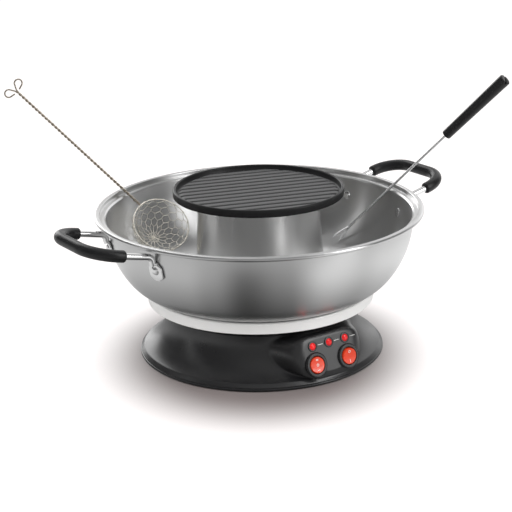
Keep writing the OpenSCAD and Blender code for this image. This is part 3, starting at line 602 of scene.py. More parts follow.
def rounded(corners, steps=5):
    """An open outline of (radius, height, fillet) corners with the fillets rounded off."""
    outline = []
    for k, (r, z, fillet) in enumerate(corners):
        here = Vector((r, z))
        if fillet == 0 or k in (0, len(corners) - 1):
            outline.append((r, z))
            continue
        to_last = (Vector(corners[k - 1][:2]) - here).normalized()
        to_next = (Vector(corners[k + 1][:2]) - here).normalized()
        half = to_last.angle(to_next) / 2
        centre = here + (to_last + to_next).normalized() * (fillet / math.sin(half))
        first = here + to_last * (fillet / math.tan(half)) - centre
        last = here + to_next * (fillet / math.tan(half)) - centre
        sweep = first.angle_signed(last)
        for i in range(steps + 1):
            spoke = first.copy()
            spoke.rotate(Matrix.Rotation(-sweep * i / steps, 2))
            outline.append(tuple(centre + spoke))
    return outline


ring_r = 104.5 * mm
ring_t = 1 * mm
ring_roll_r = 1.5 * mm
ring_roll_z = 59.4 * mm
ring_flange_r = 90 * mm
# Painted reflection: a pale, mostly diffuse colour in place of the steel's mirrored surroundings.
ring_painted_reflection = brushed_metal(
    "ring_painted_reflection", (0.90, 0.90, 0.897), roughness=0.40, spread=0.10, lines=2600.0, bump=0.08, Metallic=0.2)
roll_centre = (ring_r - ring_roll_r, ring_roll_z)
roll_end = math.degrees(math.acos((ring_roll_r - ring_t) / ring_roll_r))
ring_outline = rounded([
    (ring_flange_r, deck_z, 0), (ring_r, deck_z, 0.8 * mm), (ring_r, ring_roll_z - 2 * mm, 0)])
ring_outline += arc(roll_centre, ring_roll_r, 0, 360 - roll_end, steps=26)
ring_outline += [(ring_r - ring_t, deck_z + ring_t), (ring_flange_r, deck_z + ring_t)]
seat_band = turned("seat_band", ring_outline, steps=240, material=ring_painted_reflection, joined=True)
dress(seat_band, "base", "bright_steel", "seat_ring")


# Rocker switches: a round black bezel snapped into the panel, with a red rocker on two pins.
# Gloss nylon bezels and translucent polycarbonate rockers; the marks are hot-stamped in white.
bezel_r = 11.3 * mm
bezel_h = 2.2 * mm
switch_depth = 16 * mm
rocker_well = 6 * mm
slip = 0.05 * mm
rocker_bore_r = 7.75 * mm
rocker_ball_r = 7.45 * mm
rocker_top = 3.0 * mm
pivot_z = 0.4 * mm
dish_r = 30 * mm
dish_low = 2.2 * mm
right_rest_tilt = math.radians(9)
black_gloss = moulded(
    "black_gloss", (0.012, 0.012, 0.013), roughness=0.22, spread=0.25, grains=500.0, bump=0.06)
rocker_red = moulded(
    "rocker_red", (0.74, 0.050, 0.011), roughness=0.20, spread=0.12, grains=300.0, bump=0.05,
    **{"Coat Weight": 0.15, "Coat Roughness": 0.08, "Subsurface Weight": 0.25,
       "Subsurface Radius": (1.5 * mm, 0.4 * mm, 0.2 * mm), "Subsurface Scale": 1.0})
white_print = moulded(
    "white_print", (0.82, 0.82, 0.80), roughness=0.5, spread=0.1, grains=2000.0, bump=0.2)

bezel_corners = [
    (switch_body_r - slip, -switch_depth, 0), (switch_body_r - slip, 0, 0), (bezel_r, 0, 0.25 * mm),
    (bezel_r, 0.9 * mm, 0.5 * mm), (bezel_r - 1.0 * mm, bezel_h, 0.6 * mm),
    (rocker_bore_r + 0.2 * mm, bezel_h, 0.5 * mm), (rocker_bore_r, bezel_h - 0.9 * mm, 0.3 * mm),
    (rocker_bore_r, -rocker_well, 0), (0, -rocker_well, 0)]
bezel_outline = [(0, -switch_depth)] + rounded(bezel_corners)
for side, name in ((-1, "left"), (1, "right")):
    bezel = turned(name + "_bezel", bezel_outline, steps=96, material=black_gloss,
                   at=on_panel(side * switch_x, switch_y))
    dress(bezel, "base", "black_gloss", name + "_switch_body")


def dish_height(y):
    """Height of the rocker's hollow face above its pivot."""
    return min(dish_low + dish_r - math.sqrt(dish_r ** 2 - y ** 2), rocker_top)


def rocker_edge(angle):
    """Radius where the hollow face meets the round flank."""
    near, far = 0.5 * rocker_ball_r, rocker_ball_r
    halvings = 30
    for _ in range(halvings):
        middle = 0.5 * (near + far)
        if dish_height(middle * math.sin(angle)) < math.sqrt(rocker_ball_r ** 2 - middle ** 2):
            near = middle
        else:
            far = middle
    return near


def rocker_mesh(shape):
    """Rings from the middle of the hollow face, over its edge and down the round flank."""
    steps = 72
    face_shares = (0.0, 0.2, 0.4, 0.6, 0.8, 0.93, 0.97)
    flank_drops = (0.10, 0.5, 1.2, 2.2, 3.6, 4.8)
    edge_ease = 0.05 * mm
    angles = [2 * math.pi * i / steps for i in range(steps)]
    edges = [rocker_edge(a) for a in angles]
    rings = []
    for share in face_shares:
        spots = [(e * share * math.cos(a), e * share * math.sin(a)) for a, e in zip(angles, edges)]
        rings.append([(x, y, dish_height(y)) for x, y in spots])
    for drop in flank_drops:
        ease = edge_ease if drop == flank_drops[0] else 0
        ring = []
        for a, e in zip(angles, edges):
            z = dish_height(e * math.sin(a)) - drop * mm
            flank = math.sqrt(rocker_ball_r ** 2 - z ** 2) - ease
            ring.append((flank * math.cos(a), flank * math.sin(a), z))
        rings.append(ring)
    skin(shape, rings, capped=False)
    shape.faces.new(list(shape.verts)[-steps:])


def stamped(shape, points, inner_points):
    """A thin stamped mark between two closed outlines on the rocker's hollow face."""
    proud = 0.05 * mm
    layers = ((points, -proud), (points, proud), (inner_points, proud), (inner_points, -proud))
    rows = [[(x, y, dish_height(y) + lift) for x, y in ring] for ring, lift in layers]
    skin(shape, rows, joined=True)


def ring_points(y, radius):
    sides = 40
    angles = numpy.linspace(0, 2 * math.pi, sides, endpoint=False)
    return [(radius * math.cos(a), y + radius * math.sin(a)) for a in angles]


def bar_points(y, half_w, half_h):
    """A bar's outline, with enough points to follow the hollow face."""
    sides = [(-1, -1), (1, -1), (1, 1), (-1, 1)]
    corners = [(sx * half_w, y + sy * half_h) for sx, sy in sides]
    return [tuple(Vector(a).lerp(Vector(b), t)) for a, b in zip(corners, corners[1:] + corners[:1])
            for t in (0.0, 0.25, 0.5, 0.75)]


mark_half = 1.25 * mm
mark_stroke = 0.44 * mm
bar_core = 0.1
level_bar = (mark_half, mark_stroke / 2)
upright_bar = (mark_stroke / 2, 1.5 * mm)
ring_mark = (mark_half, mark_stroke)
# Each mark is a kind, a place along the rocker and its sizes
marks = {
    "left": (("bar", 5.0 * mm, level_bar), ("bar", 4.2 * mm, level_bar), ("ring", 0.0, ring_mark),
             ("bar", -4.6 * mm, level_bar)),
    "right": (("ring", 4.2 * mm, ring_mark), ("bar", -4.2 * mm, upright_bar)),
}
for side, name, tilt in ((-1, "left", 0.0), (1, "right", right_rest_tilt)):
    rocker_frame = on_panel(side * switch_x, switch_y) @ Matrix.Translation((0, 0, pivot_z))
    rocker_frame = rocker_frame @ Matrix.Rotation(tilt, 4, "X")
    rocker_shape = bmesh.new()
    rocker_mesh(rocker_shape)
    rocker_shape.transform(rocker_frame)
    cap = piece_from(name + "_rocker_cap", rocker_shape, rocker_red, crease=60)
    dress(cap, "rocker_" + name, "red_rocker", name + "_rocker")
    mark_shape = bmesh.new()
    for kind, y, (a, b) in marks[name]:
        if kind == "ring":
            stamped(mark_shape, ring_points(y, a), ring_points(y, a - b))
        else:
            stamped(mark_shape, bar_points(y, a, b), bar_points(y, a * bar_core, b * bar_core))
    mark_shape.transform(rocker_frame)
    mark = piece_from(name + "_rocker_marks", mark_shape, white_print)
    dress(mark, "rocker_" + name, "red_rocker")


# Signal lamps: three red domed lenses in black push-in holders, in a row above the switches.
# Clear-tinted acrylic lenses; a thin printed rule runs from each lamp towards the next.
lamp_r = 3.3 * mm
lamp_holder_r = 4.7 * mm
lamp_holder_h = 0.7 * mm
lamp_dome_h = 1.4 * mm
lamp_proud = 0.4 * mm
lamp_depth = 8 * mm
lamp_sleeve_depth = 6 * mm
lens_slip = 0.1 * mm
lens_red = moulded(
    "lens_red", (0.80, 0.010, 0.012), roughness=0.12, spread=0.9, grains=420.0, bump=0.04,
    **{"Coat Weight": 0.3, "Coat Roughness": 0.04, "Subsurface Weight": 0.2,
       "Subsurface Radius": (1.2 * mm, 0.1 * mm, 0.1 * mm), "Subsurface Scale": 1.0})
dome_r = (lamp_r ** 2 + lamp_dome_h ** 2) / (2 * lamp_dome_h)
dome_angle = math.degrees(math.asin(lamp_r / dome_r))
dome_c = (0, lamp_proud + lamp_dome_h - dome_r)
lens_outline = [
    (0, -lamp_depth), (lamp_r - lens_slip, -lamp_depth), (lamp_r - lens_slip, lamp_proud - 0.2 * mm)]
lens_outline += arc(dome_c, dome_r - 0.02 * mm, 90 - dome_angle, 90, steps=10)
holder_outline = rounded([
    (lamp_r, -lamp_sleeve_depth, 0), (lamp_sleeve_r - slip, -lamp_sleeve_depth, 0),
    (lamp_sleeve_r - slip, 0, 0), (lamp_holder_r, 0, 0), (lamp_holder_r, lamp_holder_h, 0.35 * mm),
    (lamp_r, lamp_holder_h, 0)])
holder_shape = bmesh.new()
for i, name in ((-1, "left"), (0, "middle"), (1, "right")):
    lamp_place = on_panel(i * lamp_pitch, 0)
    lens = turned(name + "_lens", lens_outline, steps=48, material=lens_red, at=lamp_place)
    dress(lens, "base", "red_lens", name + "_lamp")
    holder = turned("one_holder", holder_outline, steps=48, material=black_gloss, joined=True,
                    at=lamp_place)
    holder_shape.from_mesh(holder.data)
    bpy.data.objects.remove(holder)
dress(piece_from("lamp_surrounds", holder_shape, black_gloss), "base", "black_gloss", "lamp_holders")

rule_start = 6.0 * mm
rule_length = 5.4 * mm
rule_half = 0.22 * mm
rule_proud = 0.05 * mm
rule_shape = bmesh.new()
for i in (-1, 0, 1):
    rule_place = on_panel(i * lamp_pitch + rule_start + rule_length / 2, 0)
    rule_size = Matrix.Diagonal((rule_length, 2 * rule_half, 2 * rule_proud, 1))
    bmesh.ops.create_cube(rule_shape, size=1, matrix=rule_place @ rule_size)
rules = piece_from("panel_rules", rule_shape, white_print)
dress(rules, "base", "black_plastic")


# Pan: a spun stainless bowl with a flat floor, a lid seat inside its rim and a rolled edge.
# It is brushed round its axis outside and in, and the rim is polished by the rolling.
wall_r = 140.4 * mm
wall_top_z = 128 * mm
upper_arc_r = 85 * mm
lower_arc_r = 47.5 * mm
meet_angle = -math.degrees(math.atan2(3, 4))
upper_c = Vector((wall_r - upper_arc_r, wall_top_z))
meet_way = Vector((0.8, -0.6))
lower_c = upper_c + (upper_arc_r - lower_arc_r) * meet_way
floor_z = lower_c[1] - lower_arc_r
sheet = 1.0 * mm
chimney_foot_r = 60.5 * mm
ledge_z = 131.4 * mm
ledge_r = 145 * mm
rim_z = 135.3 * mm
rim_r = 149.98 * mm
bead_r = 1.8 * mm
bowl_steel = brushed_metal(
    "bowl_steel", (0.66, 0.66, 0.658), roughness=0.29, spread=0.06, lines=2200.0, bump=0.012,
    Anisotropic=0.85, **{"Anisotropic Rotation": 0.25})


def wall_outline(depth):
    """The wall from the floor up, as its two arcs, at a depth in the sheet."""
    lower = arc(lower_c, lower_arc_r - depth, -90, meet_angle, steps=24)
    return lower + arc(upper_c, upper_arc_r - depth, meet_angle, 0, steps=26)[1:]


bead_c = (rim_r - bead_r, rim_z - bead_r)
bead_end = 360 + 90
bead_start = 180 - math.degrees(math.asin((bead_r - sheet) / bead_r))
rim_under = rounded([
    (wall_r, wall_top_z, 0), (wall_r, ledge_z - 2 * sheet, 1.2 * mm),
    (wall_r + sheet, ledge_z - sheet, 0.9 * mm), (ledge_r + sheet, ledge_z - sheet, 0.8 * mm),
    (ledge_r + sheet, rim_z - sheet, 0.3 * mm),
    (bead_c[0] - bead_r + 0.2 * mm, rim_z - sheet, 0)])
rim_over = rounded([
    (bead_c[0] - 0.3 * mm, rim_z, 0), (ledge_r, rim_z, 0.9 * mm), (ledge_r, ledge_z, 0.5 * mm),
    (wall_r + 0.5 * sheet, ledge_z, 0.9 * mm), (wall_r - sheet, ledge_z - 1.5 * sheet, 1.0 * mm),
    (wall_r - sheet, wall_top_z, 0)])
bowl_outline = [(chimney_foot_r - sheet, floor_z)] + wall_outline(0)[:-1] + rim_under
bowl_outline += arc(bead_c, bead_r, bead_start, bead_end, steps=30) + rim_over
bowl_outline += wall_outline(sheet)[::-1][1:] + [(chimney_foot_r - sheet, floor_z + sheet)]
bowl = turned("steel_bowl", bowl_outline, steps=288, material=bowl_steel, joined=True)
dress(bowl, "pan", "steel", "pan_bowl")

# Chimney: a slightly tapered steel tube welded into the pan, with a seat for the grill plate.
# Rolled from sheet and polished, so it mirrors the wall of the pan as upright bands.
chimney_top_r = 55 * mm
chimney_flange = 4.5 * mm
grill_z = 147.4 * mm
foot_z = floor_z + sheet
chimney_steel = brushed_metal(
    "chimney_steel", (0.88, 0.88, 0.878), roughness=0.16, spread=0.05, lines=1500.0, bump=0.012,
    Anisotropic=0.9, **{"Anisotropic Rotation": 0.25})
chimney_outline = rounded([
    (chimney_foot_r - sheet, foot_z, 0), (chimney_foot_r + chimney_flange, foot_z, 0),
    (chimney_foot_r + chimney_flange, foot_z + sheet, 0.4 * mm), (chimney_foot_r, foot_z + sheet, 1.6 * mm),
    (chimney_top_r, grill_z - sheet, 1.4 * mm), (chimney_top_r + chimney_flange, grill_z - sheet, 0.3 * mm),
    (chimney_top_r + chimney_flange, grill_z, 0.3 * mm), (chimney_top_r - sheet, grill_z, 0)])
chimney = turned("steel_chimney", chimney_outline, steps=240, material=chimney_steel, joined=True)
dress(chimney, "pan", "bright_steel", "pan_chimney")


# Handles: a bent steel rod on each side, flattened at both ends into lugs riveted to the wall.
# Bright-drawn and chromed; the grip is a matte black sleeve moulded over the rod.
leg_y = 40 * mm
handle_reach = 51 * mm
loop_corner_r = 25.5 * mm
handle_tilt = math.radians(12.5)
handle_root = Vector((142.5 * mm, 0, 126.6 * mm))
rod_r = 2.9 * mm
grip_r = 5.3 * mm
bare_leg = 22.5 * mm
elbow_r = 6 * mm
rivet_down = 15 * mm
rivet_drop = math.asin(rivet_down / upper_arc_r)
lug_azimuth = math.asin(leg_y / (upper_c[0] + upper_arc_r * math.cos(rivet_drop) + rod_r))
lug_half_w = 7.5 * mm
lug_half_t = 1.1 * mm
lug_above = 6 * mm
lug_below = 9.5 * mm
lug_gap = 0.1 * mm
chrome = moulded(
    "polished_rod", (0.84, 0.84, 0.84), roughness=0.09, spread=0.12, grains=700.0, bump=0.03, Metallic=1.0)
grip_plastic = moulded(
    "grip_plastic", (0.007, 0.007, 0.0075), roughness=0.36, spread=0.4, grains=2400.0, bump=0.3,
    **{"Specular IOR Level": 0.35})


def sweep(shape, stations, sides):
    """Sweeps a section along stations: (centre, normal, half depth along it, half width, squareness)."""
    rings = []
    for k, (centre, normal, deep, wide, square) in enumerate(stations):
        way = stations[min(k + 1, len(stations) - 1)][0] - stations[max(k - 1, 0)][0]
        across = way.cross(normal).normalized()
        up = across.cross(way).normalized()
        ring = []
        for i in range(sides):
            c, s = math.cos(2 * math.pi * i / sides), math.sin(2 * math.pi * i / sides)
            c = math.copysign(abs(c) ** (2 / square), c)
            s = math.copysign(abs(s) ** (2 / square), s)
            ring.append(centre + up * deep * c + across * wide * s)
        rings.append(ring)
    skin(shape, rings)


round_section = 2.0
loop_leg = handle_reach - loop_corner_r
loop_corner = loop_corner_r * math.pi / 2
loop_length = 2 * (loop_leg + loop_corner) + 2 * (leg_y - loop_corner_r)


def loop_point(s):
    """A point of the handle's loop in its own plane, by the distance from the end of its first leg."""
    if s > loop_length / 2:
        x, y = loop_point(loop_length - s)
        return x, -y
    if s < loop_leg:
        return s, -leg_y
    if s < loop_leg + loop_corner:
        a = (s - loop_leg) / loop_corner_r
        return loop_leg + loop_corner_r * math.sin(a), -leg_y + loop_corner_r * (1 - math.cos(a))
    return handle_reach, -leg_y + loop_corner_r + s - loop_leg - loop_corner


def loop_frame(side):
    """Placement of a handle's loop, by the turn of its side about the pan's axis."""
    tilted = Matrix.Rotation(-handle_tilt, 4, "Y")
    return Matrix.Rotation(side, 4, "Z") @ Matrix.Translation(handle_root) @ tilted


def lug_station(turn, drop, share):
    """A section of a lug, by its angle down the wall and its share of the way to the tip."""
    neck_width = 0.45
    neck_share = 0.3
    neck_swell = 0.25
    tip_start = 0.72
    tip_bend = 2.6
    tip_least = 0.5
    squareness = 1.6
    run = upper_arc_r + lug_half_t + lug_gap
    spot = turn @ Vector((upper_c[0] + run * math.cos(drop), 0, upper_c[1] - run * math.sin(drop)))
    inward = turn @ Vector((-math.cos(drop), 0, math.sin(drop)))
    widen = min(1.0, share / neck_share)
    tip = math.sqrt(max(1 - max((share - tip_start) / (1 - tip_start), 0) ** tip_bend, 0.0))
    wide = (neck_width + (1 - neck_width) * widen * (2 - widen)) * lug_half_w * max(tip, tip_least)
    thick = lug_half_t * (1 + neck_swell * (1 - widen))
    return spot, inward, thick, wide, round_section + squareness * widen


def handle_stations(side):
    """The rod from one lug, round the loop, to the other lug."""
    loop_steps = 150
    elbow_steps = 10
    lug_shares = numpy.concatenate([numpy.linspace(0, 0.9, 14), [0.95, 0.98, 0.995, 1.0]])
    loop = loop_frame(side)
    turn_only = loop.to_3x3()
    plane_normal = turn_only @ Vector((0, 0, 1))
    inwards = turn_only @ Vector((-1, 0, 0))
    stations = []
    for s in numpy.linspace(0, loop_length, loop_steps):
        spot = loop @ Vector((*loop_point(s), 0))
        stations.append((spot, plane_normal, rod_r, rod_r, round_section))
    ends = []
    for end in (-1, 1):
        branch = []
        for t in numpy.linspace(0, math.pi / 2, elbow_steps)[1:]:
            spot = Vector((-elbow_r * math.sin(t), end * leg_y, -elbow_r * (1 - math.cos(t))))
            normal = plane_normal * math.cos(t) + inwards * math.sin(t)
            branch.append((loop @ spot, normal, rod_r, rod_r, round_section))
        turn = Matrix.Rotation(side + end * lug_azimuth, 4, "Z")
        top = rivet_drop - lug_above / upper_arc_r
        low = rivet_drop + lug_below / upper_arc_r
        branch += [lug_station(turn, top + (low - top) * share, share) for share in lug_shares]
        ends.append(branch)
    return ends[0][::-1] + stations + ends[1]


grip_body = 6 * mm
grip_count = 90
# Each step of the grip's round end is a distance in millimetres and a share of the full radius
grip_steps = ((0.0, 0.50), (0.0, 0.78), (0.15, 0.87), (0.5, 0.945), (1.0, 0.985), (1.7, 1.0))
for side, name in ((math.pi, "left"), (0.0, "right")):
    rod_shape = bmesh.new()
    sweep(rod_shape, handle_stations(side), sides=28)
    dress(piece_from(name + "_rod", rod_shape, chrome, crease=50), "pan", "chrome", name + "_handle_rod")
    grip_shape = bmesh.new()
    loop = loop_frame(side)
    grip_normal = loop.to_3x3() @ Vector((0, 0, 1))
    grip_run = [(bare_leg + step * mm, share) for step, share in grip_steps]
    grip_start = bare_leg + grip_body
    grip_run += [(s, 1.0) for s in numpy.linspace(grip_start, loop_length - grip_start, grip_count)]
    grip_run += [(loop_length - bare_leg - step * mm, share) for step, share in grip_steps[::-1]]
    grip_stations = []
    for s, share in grip_run:
        spot = loop @ Vector((*loop_point(s), 0))
        grip_stations.append((spot, grip_normal, grip_r * share, grip_r * share, round_section))
    sweep(grip_shape, grip_stations, sides=40)
    sleeve = piece_from(name + "_sleeve", grip_shape, grip_plastic, crease=50)
    dress(sleeve, "pan", "black_plastic", name + "_grip")


# Rivets: two through each side of the pan, with a domed head on the lug and a low head inside.
# Stainless, set cold; one form is repeated on points that carry their own direction.
def run_tree(name, tree, mesh, values):
    """Runs a Geometry Nodes tree on a mesh with named values and keeps the plain mesh that it makes."""
    piece = bpy.data.objects.new(name, mesh)
    scene.collection.objects.link(piece)
    modifier = piece.modifiers.new(name, "NODES")
    modifier.node_group = tree
    for item in tree.interface.items_tree:
        if item.in_out == "INPUT" and item.name in values:
            modifier[item.identifier] = values[item.name]
    bpy.context.view_layer.update()
    made = made_by_modifiers(piece)
    piece.modifiers.remove(modifier)
    piece.data = made
    made.name = name
    return piece


def make_tree(name, inputs):
    """Starts a Geometry Nodes tree that takes a mesh and named values."""
    mesh = {"Mesh": "Geometry"}
    return make_group(name, {**mesh, **inputs}, mesh, tree_kind="GeometryNodeTree")


def end_tree(tree, result, material, exits):
    """Ends a tree in real, smooth geometry with its material."""
    real = place(tree, "GeometryNodeRealizeInstances", {"Geometry": result})
    smooth = place(tree, "GeometryNodeSetShadeSmooth", {"Geometry": real})
    painted = place(tree, "GeometryNodeSetMaterial", {"Geometry": smooth, "Material": material})
    tree.links.new(painted.outputs[0], exits["Mesh"])


rivet_head_r = 4.2 * mm
rivet_head_h = 2.2 * mm
rivet_shank_r = 2.5 * mm
rivet_lug_top = 2.2 * mm
rivet_inner_r = 4.3 * mm
rivet_inner_h = 1.2 * mm
rivet_inner_gap = 0.12 * mm
rivet_inner_z = -sheet - rivet_inner_gap
head_ball_r = (rivet_head_r ** 2 + rivet_head_h ** 2) / (2 * rivet_head_h)
head_angle = math.degrees(math.asin(rivet_head_r / head_ball_r))
rivet_outline = [(0, rivet_inner_z - rivet_inner_h)]
rivet_outline += rounded([
    (rivet_inner_r * 0.4, rivet_inner_z - rivet_inner_h, 0),
    (rivet_inner_r, rivet_inner_z - rivet_inner_h * 0.8, 0.7 * mm),
    (rivet_inner_r, rivet_inner_z, 0), (rivet_shank_r, rivet_inner_z, 0)])
rivet_outline += [(rivet_shank_r, rivet_lug_top), (rivet_head_r, rivet_lug_top)]
head_c = (0, rivet_lug_top + rivet_head_h - head_ball_r)
rivet_outline += arc(head_c, head_ball_r, 90 - head_angle, 90, steps=10)
rivet_form = turned("rivet_form", rivet_outline, steps=40, material=chrome)

rivet_tree, rivet_in, rivet_out = make_tree("rivet_row", {"Form": "Object", "Material": "Material"})
rivet_aim = place(rivet_tree, "GeometryNodeInputNamedAttribute", {"Name": "aim"}, data_type="FLOAT_VECTOR")
rivet_turn = place(rivet_tree, "FunctionNodeAlignRotationToVector", {"Vector": rivet_aim}, axis="Z")
rivet_object = place(rivet_tree, "GeometryNodeObjectInfo", {"Object": rivet_in["Form"]})
rivet_set = place(rivet_tree, "GeometryNodeInstanceOnPoints", {
    "Points": rivet_in["Mesh"], "Instance": rivet_object.outputs["Geometry"], "Rotation": rivet_turn})
end_tree(rivet_tree, rivet_set, rivet_in["Material"], rivet_out)

rivet_spots = []
rivet_aims = []
for side in (0.0, math.pi):
    for end in (-1, 1):
        turn = Matrix.Rotation(side + end * lug_azimuth, 3, "Z")
        rivet_aims.append(turn @ Vector((math.cos(rivet_drop), 0, -math.sin(rivet_drop))))
        rivet_spots.append(turn @ Vector((upper_c[0], 0, upper_c[1])) + upper_arc_r * rivet_aims[-1])
rivet_points = bpy.data.meshes.new("rivet_points")
rivet_points.from_pydata(rivet_spots, [], [])
rivet_points.attributes.new("aim", "FLOAT_VECTOR", "POINT").data.foreach_set(
    "vector", [value for aim in rivet_aims for value in aim])
rivets = run_tree("rivet_heads", rivet_tree, rivet_points, {"Form": rivet_form, "Material": chrome})
bpy.data.objects.remove(rivet_form)
dress(rivets, "pan", "chrome", "handle_rivets")

# Grill plate: a round cast plate with a raised lip and thirteen ribs, dropped on the chimney.
# Cast aluminium with a charcoal non-stick coating; the ribs are coloured lighter than the plate as a
# painted highlight on their crests.
grill_r = 78 * mm
grill_top_z = 154.5 * mm
cooking_z = 149.4 * mm
grill_lip_r = 1.5 * mm
spigot_in_r = 50.4 * mm
spigot_out_r = 53.4 * mm
spigot_low_z = 141.4 * mm
grill_coat = moulded(
    "grill_coat", (0.009, 0.009, 0.0095), roughness=0.42, spread=0.45, grains=1500.0, bump=0.4,
    **{"Specular IOR Level": 0.28})
# Painted highlight: the ribs are lighter than the plate to stand for light on their crests.
rib_painted_highlight = moulded(
    "rib_painted_highlight", (0.044, 0.044, 0.045), roughness=0.45, spread=0.45, grains=1500.0, bump=0.4,
    **{"Specular IOR Level": 0.40})
lip_c = (grill_r - grill_lip_r, grill_top_z - grill_lip_r)
lip_in_r = grill_r - 2 * grill_lip_r
grill_flat_r = 40 * mm
grill_outline = [
    (0, grill_z), (spigot_in_r, grill_z), (spigot_in_r, spigot_low_z), (spigot_out_r, spigot_low_z)]
grill_outline += rounded([
    (spigot_out_r, grill_z, 0), (grill_r, grill_z, 1.2 * mm), (grill_r, lip_c[1] - mm, 0)])
grill_outline += arc(lip_c, grill_lip_r, 0, 180, steps=14)
grill_outline += rounded([
    (lip_in_r, lip_c[1] - 0.1 * mm, 0), (lip_in_r - 1.2 * mm, cooking_z, 1.0 * mm),
    (grill_flat_r, cooking_z, 0)])
grill_outline += [(0, cooking_z)]
grill_dish = turned("grill_dish", grill_outline, steps=200, material=grill_coat)
dress(grill_dish, "grill", "nonstick", "grill_plate")

# The ribs: bars of unit half length in a row, drawn out to the rim of the field
rib_tree, rib_in, rib_out = make_tree("grill_ribs", {
    "Count": "Int", "Pitch": "Float", "Height": "Float", "Foot": "Float", "Crest": "Float",
    "Edge": "Float", "Field": "Float", "Material": "Material"})
rib_line = place(rib_tree, "GeometryNodeCurvePrimitiveLine", {"Start": (-1, 0, 0), "End": (1, 0, 0)})
rib_run = place(rib_tree, "GeometryNodeResampleCurve", {"Curve": rib_line, "Count": 41})
rib_section = place(rib_tree, "GeometryNodeCurvePrimitiveQuadrilateral", mode="TRAPEZOID")
for socket, label in (("Bottom Width", "Crest"), ("Top Width", "Foot"), ("Height", "Height")):
    rib_tree.links.new(rib_in[label], rib_section.inputs[socket])
rib_section.inputs["Offset"].default_value = 0.0
rib_round = place(rib_tree, "GeometryNodeFilletCurve", {
    "Curve": rib_section, "Radius": rib_in["Edge"], "Count": 3}, mode="POLY")
rib_bar = place(rib_tree, "GeometryNodeCurveToMesh", {
    "Curve": rib_run, "Profile Curve": rib_round, "Fill Caps": True})
row_half = math_node(rib_tree, "MULTIPLY", rib_in["Pitch"], math_node(
    rib_tree, "MULTIPLY_ADD", rib_in["Count"], -0.5, 0.5))
rib_row = place(rib_tree, "GeometryNodeMeshLine", {
    "Count": rib_in["Count"],
    "Start Location": place(rib_tree, "ShaderNodeCombineXYZ", {"Y": row_half}),
    "Offset": place(rib_tree, "ShaderNodeCombineXYZ", {"Y": rib_in["Pitch"]})})
rib_set = place(rib_tree, "GeometryNodeInstanceOnPoints", {"Points": rib_row, "Instance": rib_bar})
rib_real = place(rib_tree, "GeometryNodeRealizeInstances", {"Geometry": rib_set})
rib_spot = place(rib_tree, "ShaderNodeSeparateXYZ", {0: place(rib_tree, "GeometryNodeInputPosition")})
rib_gap = math_node(rib_tree, "SUBTRACT", math_node(rib_tree, "POWER", rib_in["Field"], 2.0),
                    math_node(rib_tree, "POWER", rib_spot.outputs["Y"], 2.0))
rib_reach = math_node(rib_tree, "SQRT", math_node(rib_tree, "MAXIMUM", rib_gap, 0.0))
rib_end = place(rib_tree, "ShaderNodeMapRange", {
    "Value": math_node(rib_tree, "ABSOLUTE", rib_spot.outputs["X"]), "From Min": 0.95, "From Max": 1.0,
    "To Min": 1.0, "To Max": 0.45}, interpolation_type="SMOOTHSTEP")
rib_moved = place(rib_tree, "ShaderNodeCombineXYZ", {
    "X": math_node(rib_tree, "MULTIPLY", rib_spot.outputs["X"], rib_reach), "Y": rib_spot.outputs["Y"],
    "Z": math_node(rib_tree, "MULTIPLY", rib_spot.outputs["Z"], rib_end)})
rib_drawn = place(rib_tree, "GeometryNodeSetPosition", {
    "Geometry": rib_real, "Position": rib_moved})
end_tree(rib_tree, rib_drawn, rib_in["Material"], rib_out)

rib_turn = math.radians(-17.5)
rib_crease = math.radians(40)
rib_height = 1.6 * mm
ribs = run_tree("grill_ribs", rib_tree, bpy.data.meshes.new("rib_seed"), {
    "Count": 13, "Pitch": 10.6 * mm, "Height": 2 * rib_height, "Foot": 8.2 * mm, "Crest": 6.5 * mm,
    "Edge": 0.5 * mm, "Field": 72.5 * mm, "Material": rib_painted_highlight})
ribs.data.transform(Matrix.Translation((0, 0, cooking_z)) @ Matrix.Rotation(rib_turn, 4, "Z"))
ribs.data.set_sharp_from_angle(angle=rib_crease)
dress(ribs, "grill", "nonstick")


# Fork: a thin polished rod that is flattened into a blade with two tines, in a tapered black handle.
# Stainless wire, forged flat, slit and pointed; the handle is moulded on and notched at its end.
# The blade and the rod are two pieces here, so that the blade can take a nearly white, barely metallic copy
# of the steel as painted light.
def heading(azimuth, slope):
    """Unit vector at a compass angle and a slope."""
    a, s = math.radians(azimuth), math.radians(slope)
    return Vector((math.cos(s) * math.cos(a), math.cos(s) * math.sin(a), math.sin(s)))


def rolled(way, roll):
    """Level and upward unit vectors square to a direction, turned by a roll about it."""
    beside = way.cross(Vector((0, 0, 1))).normalized()
    above = beside.cross(way)
    c, s = math.cos(math.radians(roll)), math.sin(math.radians(roll))
    return c * beside + s * above, c * above - s * beside


def placed(origin, x_axis, z_axis):
    y_axis = z_axis.cross(x_axis)
    turn = Matrix((x_axis, y_axis, z_axis)).transposed().to_4x4()
    return Matrix.Translation(origin) @ turn


fork_dir = heading(azimuth=-62.7, slope=45.7)
fork_tip = Vector((111.2, 29.3, 74.6)) * mm
fork_frame = placed(fork_tip, rolled(fork_dir, roll=53)[0], fork_dir)
fork_length = 240 * mm
fork_handle_length = 79 * mm
fork_rod_r = 1.2 * mm
fork_plug = 20 * mm
tine_half = 3.6 * mm
tine_edge = 0.9 * mm
shoulder_z = 3 * mm
slot_r = 0.8 * mm
crotch_z = 10.2 * mm
neck_z = 21 * mm
taper_z = 14 * mm
blade_half_t = 0.65 * mm
blade_bevel = 0.3 * mm


def inset(outline, distance):
    """A closed clockwise outline, moved inwards."""
    moved = []
    for before, here, after in zip(outline[-1:] + outline[:-1], outline, outline[1:] + outline[:1]):
        run = (Vector(after) - Vector(before)).normalized()
        moved.append((here[0] + run.y * distance, here[1] - run.x * distance))
    return moved


